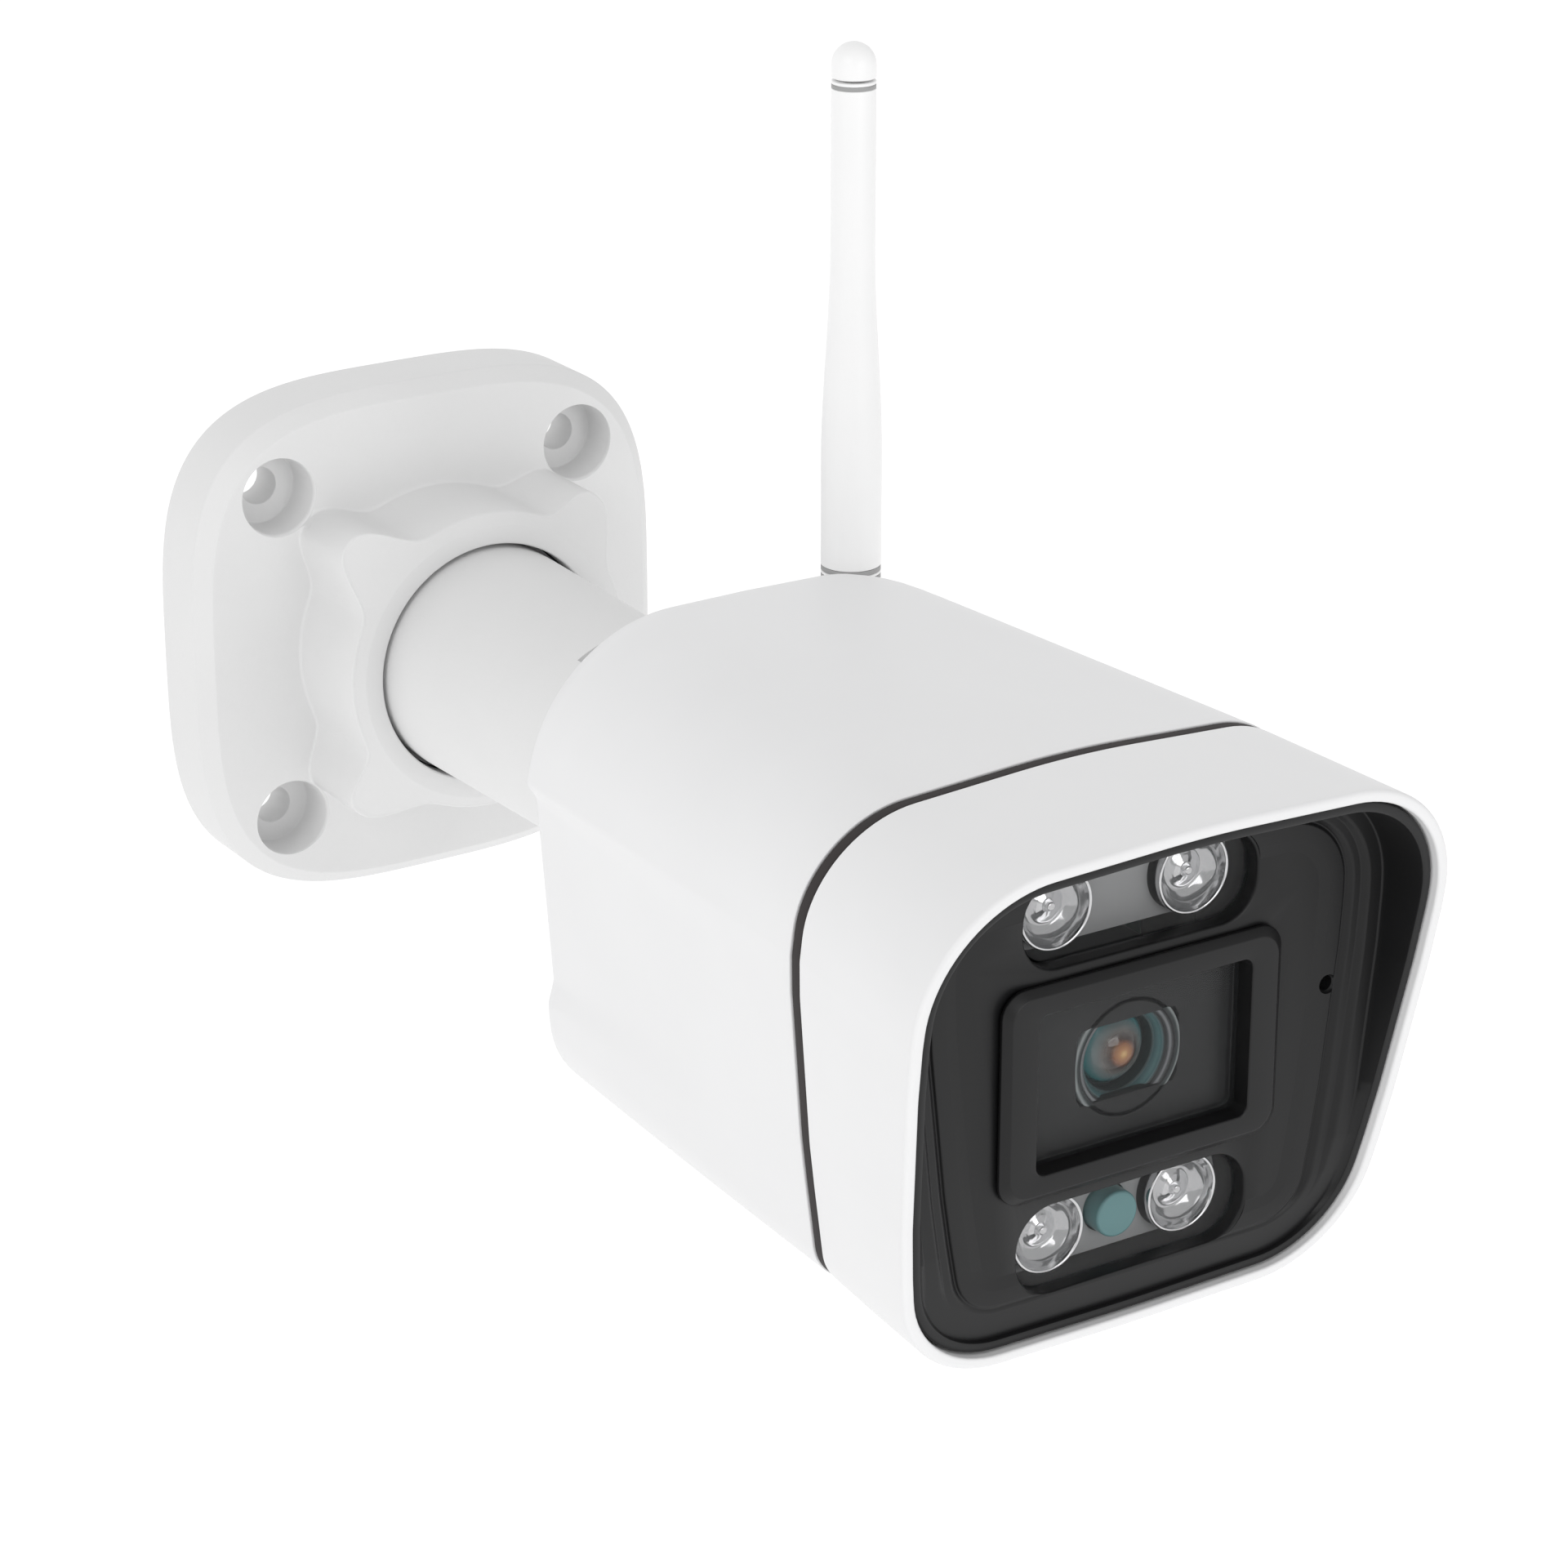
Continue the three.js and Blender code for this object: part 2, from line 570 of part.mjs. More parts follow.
function grommet() {
  const backY = RING_SEAT - GAP - RING_THICK;
  const coneR = CABLE_R + GROMMET_FLARE;
  return turned([
    [CABLE_R, -backY + GROMMET_LIP], [coneR, -backY], [ARM_ROOT_R, -backY],
    [ARM_ROOT_R, -backY - RING_THICK], [coneR, -backY - RING_THICK],
    [CABLE_R, -backY - RING_THICK - GROMMET_LIP],
  ], FINE);
}

add('wall_plate', wallPlate(), WHITE());
add('arm_retaining_ring', retainingRing(), STEEL());
add('pan_friction_ring', ringY(FLANGE_R, armBoreR, BOSS_TOP_Y - BOSS_LIP - GAP - FRICTION_THICK,
  BOSS_TOP_Y - BOSS_LIP - GAP, FINE), RUBBER());
quarterTurns.forEach((angle, i) => {
  const headBackY = RING_SEAT - 2 * GAP - RING_THICK - SCREW_HEAD_THICK;
  add(`retaining_screw_${i + 1}`, panScrew(RING_SCREW_CIRCLE_R * Math.cos(angle),
    RING_SCREW_CIRCLE_R * Math.sin(angle), headBackY,
    RING_SCREW_LENGTH + RING_THICK - CUT, -1), STEEL());
});
add('cable_grommet', grommet(), RUBBER());

// ---------------------------------------------------------------- arm and elbow

const earInner = ELBOW_SLOT / 2;
const earSeat = earInner + PIVOT_EAR;
const cableDropZ = -PIVOT_R - GAP - CABLE_WEB - CABLE_R;

function arm() {
  const boreR = ARM_ROOT_R - ARM_WALL;
  const slotBottomY = ELBOW_Y - ELBOW_SLOT_DEPTH;
  const floorY = slotBottomY - ARM_WALL;
  const domeSteps = 10;
  const dome = Array.from({ length: domeSteps + 1 }, (_, i) => {
    const angle = i / domeSteps * Math.PI / 2;
    return [ARM_END_R * Math.cos(angle), -ELBOW_Y - ARM_END_DEPTH * Math.sin(angle)];
  });
  dome[domeSteps][0] = 0;
  let body = turned([
    [0, -flangeBackY], [FLANGE_R, -flangeBackY], [FLANGE_R, -flangeFrontY],
    [ARM_ROOT_R, -flangeFrontY], [ARM_ROOT_R, -BOSS_TOP_Y], ...dome,
  ], FINE);
  body = cut(body,
    rodY(boreR, flangeBackY - CUT, floorY, FINE),
    block(-earInner, earInner, -ELBOW_Y - ARM_END_R - CUT, -slotBottomY,
      -ARM_END_R - CUT, ARM_END_R + CUT),
    rodX(PIVOT_R + GAP, -ARM_END_R - CUT, ARM_END_R + CUT, -ELBOW_Y, 0, ROUND),
    rodX(PIVOT_HEAD_R + GAP, earSeat, ARM_END_R + CUT, -ELBOW_Y, 0, ROUND),
    rodY(CABLE_R, floorY - CUT, slotBottomY + CUT, COARSE, 0, cableDropZ));
  const nutPocket = prismX(hexagon(PIVOT_NUT + 2 * GAP), -ARM_END_R - CUT, -earSeat);
  return cut(body, nutPocket);
}

// Prism along X of a shape drawn in (y, z) about the elbow axis.
function prismX(shape, fromX, toX, curveSegments = 12) {
  const geometry = new THREE.ExtrudeGeometry(shape, {
    depth: toX - fromX, bevelEnabled: false, curveSegments,
  });
  geometry.rotateX(Math.PI / 2);
  geometry.rotateZ(Math.PI / 2);
  geometry.translate(fromX, -ELBOW_Y, 0);
  return solid(geometry);
}

function elbowScrew() {
  const headBack = earSeat + GAP;
  const head = rodX(PIVOT_HEAD_R, headBack, headBack + PIVOT_HEAD_THICK, -ELBOW_Y, 0, ROUND);
  const shank = rodX(PIVOT_R, -earSeat - GAP - PIVOT_HEAD_THICK + PIVOT_STUB, headBack + CUT / 2,
    -ELBOW_Y, 0, ROUND);
  const socket = prismX(hexagon(PIVOT_KEY), headBack + PIVOT_HEAD_THICK - PIVOT_KEY_DEPTH,
    headBack + PIVOT_HEAD_THICK + CUT);
  return cut(union(head, shank), socket);
}

function elbowNut() {
  const near = -earSeat - GAP;
  const nut = prismX(hexagon(PIVOT_NUT), near - PIVOT_HEAD_THICK, near);
  return cut(nut, rodX(PIVOT_R + GAP, near - PIVOT_HEAD_THICK - CUT, near + CUT,
    -ELBOW_Y, 0, ROUND));
}

const tongueHalf = earInner - 2 * GAP - WASHER_THICK;
function elbowWasher(side) {
  const near = tongueHalf + GAP;
  const [from, to] = side > 0 ? [near, near + WASHER_THICK] : [-near - WASHER_THICK, -near];
  return cut(rodX(TONGUE_R - CUT, from, to, -ELBOW_Y, 0, ROUND),
    rodX(PIVOT_R + GAP, from - CUT, to + CUT, -ELBOW_Y, 0, ROUND));
}

add('arm_tube', arm(), WHITE());
add('elbow_screw', elbowScrew(), STEEL());
add('elbow_nut', elbowNut(), STEEL());
add('elbow_washer_right', elbowWasher(1), BLACK());
add('elbow_washer_left', elbowWasher(-1), BLACK());

// ---------------------------------------------------------------- swivel knuckle

const sealBackY = BODY_REAR_Y - GAP - SEAL_THICK;
const discFrontY = sealBackY - GAP;
const discBackY = discFrontY - DISC_THICK;

function knuckle() {
  const tongue = rodX(TONGUE_R, -tongueHalf, tongueHalf, -ELBOW_Y, 0, FINE);
  const neck = block(-tongueHalf, tongueHalf, -discBackY - CUT / 2, -ELBOW_Y,
    -NECK_HALF, NECK_HALF);
  const disc = turned([
    [0, -discBackY], [DISC_R - DISC_CHAMFER, -discBackY], [DISC_R, -discBackY - DISC_CHAMFER],
    [DISC_R, -discFrontY], [0, -discFrontY],
  ].reverse(), FINE);
  const spigot = rodY(SPIGOT_R, discFrontY - CUT / 2, BODY_REAR_Y + SPIGOT_LENGTH, ROUND);
  const turnY = discBackY - CUT;
  return cut(union(tongue, neck, disc, spigot),
    rodX(PIVOT_R + GAP, -TONGUE_R, TONGUE_R, -ELBOW_Y, 0, ROUND),
    rodY(CABLE_R, turnY, BODY_REAR_Y + SPIGOT_LENGTH + CUT, COARSE),
    block(-CABLE_R, CABLE_R, -turnY - CABLE_R, -turnY + 2 * CUT, cableDropZ, 0),
    rodY(CABLE_R, ELBOW_Y - TONGUE_R - CUT, turnY + CABLE_R, COARSE, 0, cableDropZ));
}

add('swivel_knuckle', knuckle(), WHITE());
add('swivel_seal', ringY(DISC_R - DISC_CHAMFER, SEAL_INNER_R, sealBackY, sealBackY + SEAL_THICK, FINE),
  RUBBER());

// ---------------------------------------------------------------- rear housing

const rearFullY = BODY_REAR_Y + REAR_EDGE;
const rearInnerY = BODY_REAR_Y + REAR_WALL;
const wallHoleR = SPIGOT_R + SLIP;
const hoodBackY = SEAM_Y + SEAM_GROOVE;
const boardY = rearInnerY + BOARD_STAND;

// Ring just ahead of the rear face, where the top corners have grown tighter.
function shoulderRing(inset) {
  const t = (SHOULDER_Y - rearFullY) / (SEAM_Y - rearFullY);
  const section = mixSections(REAR_SECTION, SEAM_SECTION, t);
  section[1][2] = SHOULDER_R;
  return sectionRing(section, inset, (z) => -SHOULDER_Y - SLANT * t * z);
}

function rearHousing() {
  const outer = loft([
    sectionRing(REAR_SECTION, REAR_EDGE, flatAt(BODY_REAR_Y)),
    sectionRing(REAR_SECTION, REAR_EDGE * 0.3, flatAt(BODY_REAR_Y + REAR_EDGE * 0.3)),
    sectionRing(REAR_SECTION, 0, flatAt(rearFullY)),
    shoulderRing(0),
    sectionRing(SEAM_SECTION, 0, slantAt(SEAM_Y)),
  ]);
  const inner = loft([
    sectionRing(REAR_SECTION, BODY_WALL, flatAt(rearInnerY)),
    shoulderRing(BODY_WALL),
    sectionRing(SEAM_SECTION, BODY_WALL, slantAt(SEAM_Y)),
    sectionRing(SEAM_SECTION, BODY_WALL, slantAt(SEAM_Y + CUT)),
  ]);
  let body = cut(outer, inner);
  for (const [x, z] of HOOD_SCREWS) {
    const endY = SEAM_Y + SLANT * z - SEAM_GROOVE;
    const post = rodY(POST_R, endY - POST_LENGTH, endY, COARSE, x, z);
    const rib = rodY(POST_R, endY - POST_LENGTH, endY, COARSE,
      x * POST_SPREAD, z * POST_SPREAD);
    body = union(body, post.add(rib).intersect(outer));
  }
  for (const [x, z] of BOARD_SCREWS) {
    body = union(body, rodY(BOARD_POST_R, BODY_REAR_Y + CUT, boardY - GAP, COARSE, x, z));
  }
  body = cut(body,
    rodY(wallHoleR, BODY_REAR_Y - CUT, rearInnerY + CUT, ROUND),
    rodY(JACK_R + GAP, BODY_REAR_Y - CUT, rearInnerY + CUT, COARSE, AERIAL_X, AERIAL_HINGE_Z));
  for (const [x, z] of HOOD_SCREWS) {
    const endY = SEAM_Y + SLANT * z;
    body = cut(body, rodY(SCREW_R + GAP, endY - POST_LENGTH + POST_FLOOR, endY + CUT,
      COARSE, x, z));
  }
  for (const [x, z] of BOARD_SCREWS) {
    body = cut(body, rodY(SCREW_R + GAP, rearInnerY + POST_FLOOR, boardY + CUT, COARSE, x, z));
  }
  return body;
}

const nutNearY = rearInnerY + 2 * GAP + SWIVEL_WASHER_THICK;
const nutFarY = nutNearY + SWIVEL_NUT_THICK;
add('rear_housing', rearHousing(), WHITE());
add('swivel_washer', ringY(SWIVEL_WASHER_R, SPIGOT_R + GAP, rearInnerY + GAP,
  rearInnerY + GAP + SWIVEL_WASHER_THICK, ROUND), STEEL());
add('swivel_nut', cut(prismY(hexagon(SWIVEL_NUT), nutNearY, nutFarY),
  rodY(SPIGOT_R + GAP, nutNearY - CUT, nutFarY + CUT, ROUND)), STEEL());

// ---------------------------------------------------------------- gasket and front hood

function gasket() {
  const nearY = SEAM_Y + GAP;
  const farY = hoodBackY - GAP;
  const outer = loft([
    sectionRing(SEAM_SECTION, SEAM_SINK, slantAt(nearY)),
    sectionRing(SEAM_SECTION, SEAM_SINK, slantAt(farY)),
  ]);
  return cut(outer, loft([
    sectionRing(SEAM_SECTION, BODY_WALL, slantAt(nearY - CUT)),
    sectionRing(SEAM_SECTION, BODY_WALL, slantAt(farY + CUT)),
  ]));
}

// Ring of the hood on the slanted plane at a distance from the wall.
function hoodRing(distance, inset) {
  const t = (distance - hoodBackY) / (RIM_Y - hoodBackY);
  return sectionRing(mixSections(SEAM_SECTION, RIM_SECTION, t), inset, slantAt(distance));
}

function frontHood() {
  const half = LIP_ROUND * Math.SQRT1_2;
  const outer = loft([
    hoodRing(hoodBackY, 0), hoodRing(RIM_Y - LIP_ROUND, 0),
    hoodRing(RIM_Y - LIP_ROUND + half, LIP_ROUND - half), hoodRing(RIM_Y, LIP_ROUND),
  ]);
  const inside = RIM_WALL - LIP_ROUND / 2;
  const flangeY = hoodBackY + HOOD_FLANGE;
  const front = loft([
    hoodRing(flangeY, RIM_WALL), hoodRing(RIM_Y - LIP_ROUND, RIM_WALL),
    hoodRing(RIM_Y, inside), hoodRing(RIM_Y + CUT, inside),
  ]);
  const opening = prismY(roundedBox(HOOD_OPEN_W, HOOD_OPEN_H, HOOD_OPEN_CORNER,
    0, HOOD_OPEN_Z), SEAM_Y - POST_LENGTH, RIM_Y);
  let body = cut(outer, front, opening);
  for (const [x, z] of HOOD_SCREWS) {
    const y = hoodBackY + SLANT * z;
    body = cut(body, rodY(SCREW_R + GAP, y - CUT, y + HOOD_FLANGE + CUT, COARSE, x, z));
  }
  return body;
}

add('seam_gasket', gasket(), RUBBER());
add('front_hood', frontHood(), WHITE());

HOOD_SCREWS.forEach(([x, z], i) => {
  const seatY = hoodBackY + SLANT * z + HOOD_FLANGE + GAP + HOOD_SCREW_LIFT;
  const headFrontY = seatY + SCREW_HEAD_THICK;
  add(`hood_screw_${i + 1}`, panScrew(x, z, headFrontY, SCREW_LENGTH, 1), STEEL());
});

// ---------------------------------------------------------------- bezel

const bezelBackY = BEZEL_Y - BEZEL_THICK;
const skirtInset = RIM_WALL + GAP;
const frameFrontY = BEZEL_Y + FRAME_PROUD;
const windowUpZ = LENS_Z + FRAME_HALF_H + LED_WINDOW_ABOVE + LED_WINDOW_HALF_H;
const windowDownZ = LENS_Z - FRAME_HALF_H - LED_WINDOW_BELOW - LED_WINDOW_HALF_H;

// Everything farther from the wall than a distance.
function beyond(distance) {
  return block(-BODY_REAR_Y, BODY_REAR_Y, -2 * BODY_REAR_Y - RIM_Y, -distance,
    -BODY_REAR_Y, BODY_REAR_Y);
}

function stadium(halfW, halfH, cz) {
  return roundedBox(halfW, halfH, halfH - 0.01, 0, cz);
}

function bezel() {
  const startY = BEZEL_Y - BEZEL_RUN;
  const column = (inset, endY) => loft([hoodRing(startY, inset), hoodRing(endY, inset)]);
  const blank = column(skirtInset, RIM_Y - SKIRT_SINK).intersect(beyond(bezelBackY));
  const hollow = column(skirtInset + SKIRT_WALL, RIM_Y + CUT)
    .intersect(beyond(BEZEL_Y + STEP_RISE));
  const face = column(skirtInset + SKIRT_WALL + STEP_INSET, RIM_Y + CUT)
    .intersect(beyond(BEZEL_Y));
  return cut(blank, hollow, face,
    prismY(roundedBox(FRAME_HALF_W - FRAME_STEP + GAP, FRAME_HALF_H - FRAME_STEP + GAP,
      SPIGOT_CORNER, 0, LENS_Z), bezelBackY - CUT, BEZEL_Y + CUT),
    prismY(stadium(LED_WINDOW_HALF_W, LED_WINDOW_HALF_H, windowUpZ),
      bezelBackY - CUT, BEZEL_Y + STEP_RISE + CUT, ROUND / 4),
    prismY(stadium(LED_WINDOW_HALF_W, LED_WINDOW_HALF_H, windowDownZ),
      bezelBackY - CUT, BEZEL_Y + STEP_RISE + CUT, ROUND / 4),
    rodY(MIC_HOLE_R, bezelBackY - CUT, BEZEL_Y + STEP_RISE + CUT, COARSE, MIC_X, MIC_Z));
}

function rectangleRing(halfW, halfH, radius, distance) {
  return roundedBox(halfW, halfH, radius, 0, LENS_Z).getPoints(4).slice(0, -1)
    .map((p) => new THREE.Vector3(p.x, -distance, p.y));
}

// Raised frame round the lens, with a pocket for its window and a hole for the lens.
function lensFrame() {
  const floorY = frameFrontY - POCKET_DEPTH;
  const front = loft([
    rectangleRing(FRAME_HALF_W, FRAME_HALF_H, FRAME_CORNER, BEZEL_Y + GAP),
    rectangleRing(FRAME_HALF_W, FRAME_HALF_H, FRAME_CORNER, frameFrontY - FRAME_BEVEL),
    rectangleRing(FRAME_HALF_W - FRAME_BEVEL, FRAME_HALF_H - FRAME_BEVEL,
      FRAME_CORNER - FRAME_BEVEL / 2, frameFrontY),
  ]);
  const spigot = prismY(roundedBox(FRAME_HALF_W - FRAME_STEP, FRAME_HALF_H - FRAME_STEP,
    SPIGOT_CORNER, 0, LENS_Z), floorY - FRAME_FLOOR, BEZEL_Y + GAP + CUT / 2);
  return cut(union(front, spigot),
    prismY(roundedBox(POCKET_HALF_W, POCKET_HALF_H, POCKET_CORNER, 0, LENS_Z),
      floorY, frameFrontY + CUT),
    rodY(LENS_HEAD_R + GAP, floorY - FRAME_FLOOR - CUT, floorY + CUT, FINE, 0, LENS_Z));
}

const glassBackY = frameFrontY - POCKET_DEPTH + GAP;
const paneFrontY = BEZEL_Y - LED_PANE_SINK;
function ledPane(cz) {
  return prismY(stadium(LED_WINDOW_HALF_W - GAP, LED_WINDOW_HALF_H - GAP, cz),
    paneFrontY - LED_PANE_THICK, paneFrontY, ROUND / 4);
}

add('bezel', bezel(), BLACK());
add('lens_frame', lensFrame(), BLACK());
add('lens_window', prismY(roundedBox(POCKET_HALF_W - GAP, POCKET_HALF_H - GAP, POCKET_CORNER - GAP,
  0, LENS_Z), glassBackY, glassBackY + GLASS_THICK), CLEAR());
add('upper_light_window', ledPane(windowUpZ), CLEAR());
add('lower_light_window', ledPane(windowDownZ), CLEAR());

// ---------------------------------------------------------------- lights and sensor

const ledFrontY = paneFrontY - LED_PANE_THICK - 2 * GAP;
const ledBackY = ledFrontY - LED_DEPTH;
const chipBackY = ledBackY - GAP - LED_CHIP_THICK;
const ledBoardFrontY = chipBackY - GAP;

// Clear cone with a domed centre in its dished front, over one emitter.
function collimator(x, z) {
  const middleR = (LED_R + LED_BACK_R) / 2 + LED_BULGE;
  return turned([
    [0, -ledFrontY + LED_CROWN_SINK], [LED_CROWN_R, -ledFrontY + LED_DISH],
    [LED_R - 2 * LED_RIM, -ledFrontY + LED_DISH], [LED_R - LED_RIM, -ledFrontY],
    [LED_R, -ledFrontY], [LED_R, -ledFrontY + LED_EDGE],
    [middleR, (-ledFrontY - ledBackY) / 2], [LED_BACK_R, -ledBackY], [0, -ledBackY],
  ], ROUND, x, z);
}

function chip(x, z) {
  const half = LED_CHIP_SIZE / 2;
  return block(x - half, x + half, -chipBackY - LED_CHIP_THICK, -chipBackY, z - half, z + half);
}

function ledBoard(cz) {
  return prismY(roundedBox(LED_BOARD_HALF_W, LED_BOARD_HALF_H, BOARD_ROUND, 0, cz),
    ledBoardFrontY - BOARD_THICK, ledBoardFrontY);
}

for (const [level, z] of [['upper', windowUpZ], ['lower', windowDownZ]]) {
  for (const [side, x] of [['left', -LED_X], ['right', LED_X]]) {
    add(`${level}_${side}_collimator`, collimator(x, z), CLEAR());
    add(`${level}_${side}_led`, chip(x, z), material(0xf2dd7a, 0.4));
  }
  add(`${level}_light_board`, ledBoard(z), material(0xe9eae6, 0.5));
}
add('light_sensor', turned([
  [0, -ledFrontY], [SENSOR_R - SENSOR_CHAMFER, -ledFrontY],
  [SENSOR_R, -ledFrontY + SENSOR_CHAMFER],
  [SENSOR_R, -ledBoardFrontY - GAP], [0, -ledBoardFrontY - GAP],
], ROUND, 0, windowDownZ), material(0x5fa3a4, 0.35));

// ---------------------------------------------------------------- lens and its board

const lensFrontY = frameFrontY - POCKET_DEPTH;
const lensBackY = lensFrontY - LENS_LENGTH;
const holderFrontY = lensFrontY - LENS_HEAD_THICK - GAP;
const holderBackY = lensBackY - LENS_BACK_CLEAR;
const sensorBoardFrontY = holderBackY - GAP;

function lensBarrel() {
  const headBackY = lensFrontY - LENS_HEAD_THICK;
  return turned([
    [0, -lensBackY], [LENS_BARREL_R, -lensBackY], [LENS_BARREL_R, -headBackY],
    [LENS_HEAD_R, -headBackY], [LENS_HEAD_R, -lensFrontY + LENS_EDGE],
    [LENS_HEAD_R - LENS_EDGE, -lensFrontY], [LENS_BORE_R + LENS_RIM, -lensFrontY],
    [LENS_BORE_R, -lensFrontY + LENS_BORE_DEPTH], [LENS_BORE_R, -lensFrontY + LENS_WELL],
    [0, -lensFrontY + LENS_WELL],
  ], FINE, 0, LENS_Z);
}

// Front element: a dome over a flat back, just clear of its bore.
function frontElement() {
  const radius = LENS_BORE_R - GAP;
  const back = -lensFrontY + LENS_WELL - GAP;
  const height = LENS_WELL - LENS_BORE_DEPTH + LENS_DOME;
  const sphere = (radius * radius + height * height) / (2 * height);
  const sweep = Math.asin(radius / sphere);
  const steps = 6;
  const dome = Array.from({ length: steps + 1 }, (_, i) => {
    const angle = sweep * i / steps;
    return [sphere * Math.sin(angle), back - height + sphere * (1 - Math.cos(angle))];
  });
  return turned([...dome, [radius, back + 0.01], [0, back + 0.01]], ROUND, 0, LENS_Z);
}

function lensHolder() {
  return cut(
    prismY(roundedBox(LENS_HOLDER_HALF, LENS_HOLDER_HALF, BOARD_ROUND, 0, LENS_Z),
      holderBackY, holderFrontY),
    rodY(LENS_BARREL_R + GAP, lensBackY - GAP, holderFrontY + CUT, FINE, 0, LENS_Z),
    prismY(roundedBox(IMAGER_HALF + GAP, IMAGER_HALF + GAP, GAP, 0, LENS_Z),
      holderBackY - CUT, lensBackY));
}

add('lens_barrel', lensBarrel(), BLACK());
add('lens_front_glass', frontElement(), CLEAR());
add('lens_holder', lensHolder(), BLACK());
add('image_sensor', block(-IMAGER_HALF, IMAGER_HALF, -holderBackY - IMAGER_THICK,
  -holderBackY, LENS_Z - IMAGER_HALF, LENS_Z + IMAGER_HALF), material(0x30343c, 0.3));
add('sensor_board', prismY(roundedBox(SENSOR_BOARD_HALF, SENSOR_BOARD_HALF, BOARD_ROUND,
  0, LENS_Z), sensorBoardFrontY - BOARD_THICK, sensorBoardFrontY), BOARD());
add('microphone', rodY(MIC_R, bezelBackY - GAP - MIC_THICK, bezelBackY - GAP, COARSE,
  MIC_X, MIC_Z), STEEL());

// ---------------------------------------------------------------- main board

const boardFrontY = boardY + BOARD_THICK;
function mainBoard() {
  let body = prismY(roundedBox(BOARD_HALF_W, BOARD_HALF_H, BOARD_CORNER), boardY, boardFrontY);
  for (const [x, z] of BOARD_SCREWS) {
    body = cut(body, rodY(SCREW_R + GAP, boardY - CUT, boardFrontY + CUT, COARSE, x, z));
  }
  return body;
}

function boardModule([fromX, toX, fromZ, toZ], thick) {
  const nearY = boardFrontY + GAP;
  return block(fromX, toX, -nearY - thick, -nearY, fromZ, toZ);
}

add('main_board', mainBoard(), BOARD());
add('image_processor', boardModule(PROCESSOR, PROCESSOR_THICK), BLACK());
add('radio_module', boardModule(RADIO, RADIO_THICK), STEEL());
[BOARD_SCREWS[0], BOARD_SCREWS[2]].forEach(([x, z], i) => {
  add(`board_screw_${i + 1}`, panScrew(x, z, boardFrontY + GAP + SCREW_HEAD_THICK,
    BOARD_SCREW_LENGTH, 1), STEEL());
});

// ---------------------------------------------------------------- folding aerial

const jackOuterY = BODY_REAR_Y - GAP;
const yokeFrontY = jackOuterY - JACK_FLANGE - GAP;
const socketBottomY = yokeFrontY - JACK_SOCKET;
const slotFrontY = AERIAL_Y + YOKE_R - CUT;
const footHalf = YOKE_SLOT / 2 - GAP;
const footR = YOKE_R - FOOT_CLEAR;
const shoulderZ = AERIAL_HINGE_Z + YOKE_R + SLEEVE_LIFT;
const boreZ = shoulderZ + BORE_START;

function turnedZ(profile, segments) {
  const points = profile.map(([r, z]) => new THREE.Vector2(r, z));
  points.push(points[0].clone());
  const geometry = new THREE.LatheGeometry(points, segments);
  geometry.rotateX(Math.PI / 2);
  geometry.translate(AERIAL_X, -AERIAL_Y, 0);
  return solid(geometry);
}

function aerialRodX(radius, halfLength, segments) {
  return rodX(radius, AERIAL_X - halfLength, AERIAL_X + halfLength, -AERIAL_Y,
    AERIAL_HINGE_Z, segments);
}

function jack() {
  return turned([
    [0, -BODY_REAR_Y - JACK_INSIDE], [JACK_R, -BODY_REAR_Y - JACK_INSIDE],
    [JACK_R, -jackOuterY],
    [JACK_FLANGE_R, -jackOuterY], [JACK_FLANGE_R, -jackOuterY + JACK_FLANGE],
    [JACK_R, -jackOuterY + JACK_FLANGE], [JACK_R, -socketBottomY - GAP],
    [0, -socketBottomY - GAP],
  ], ROUND, AERIAL_X, AERIAL_HINGE_Z);
}

function aerialYoke() {
  const backY = AERIAL_Y - YOKE_R + YOKE_ROUND;
  const tube = rodY(YOKE_R, backY, yokeFrontY, ROUND, AERIAL_X, AERIAL_HINGE_Z);
  const nose = block(AERIAL_X - YOKE_R - CUT, AERIAL_X + YOKE_R + CUT, -yokeFrontY - CUT,
    -AERIAL_Y, AERIAL_HINGE_Z - YOKE_R - CUT, AERIAL_HINGE_Z + YOKE_R + CUT);
  const round = aerialRodX(YOKE_R - YOKE_ROUND, YOKE_R + CUT, ROUND);
  return cut(tube.intersect(nose.add(round)),
    rodY(JACK_R + GAP, socketBottomY, yokeFrontY + CUT, ROUND, AERIAL_X, AERIAL_HINGE_Z),
    block(AERIAL_X - YOKE_SLOT / 2, AERIAL_X + YOKE_SLOT / 2, -slotFrontY, -backY + CUT,
      AERIAL_HINGE_Z - YOKE_R - CUT, AERIAL_HINGE_Z + YOKE_R + CUT),
    aerialRodX(PIN_R + GAP, YOKE_R + CUT, COARSE));
}

// Sleeve radius at a height, easing from the thick foot to the slim top.
function sleeveR(z) {
  const t = THREE.MathUtils.smoothstep(z, AERIAL_TAPER_LOW_Z, AERIAL_TAPER_HIGH_Z);
  return AERIAL_BASE_R + (AERIAL_TOP_R - AERIAL_BASE_R) * t;
}

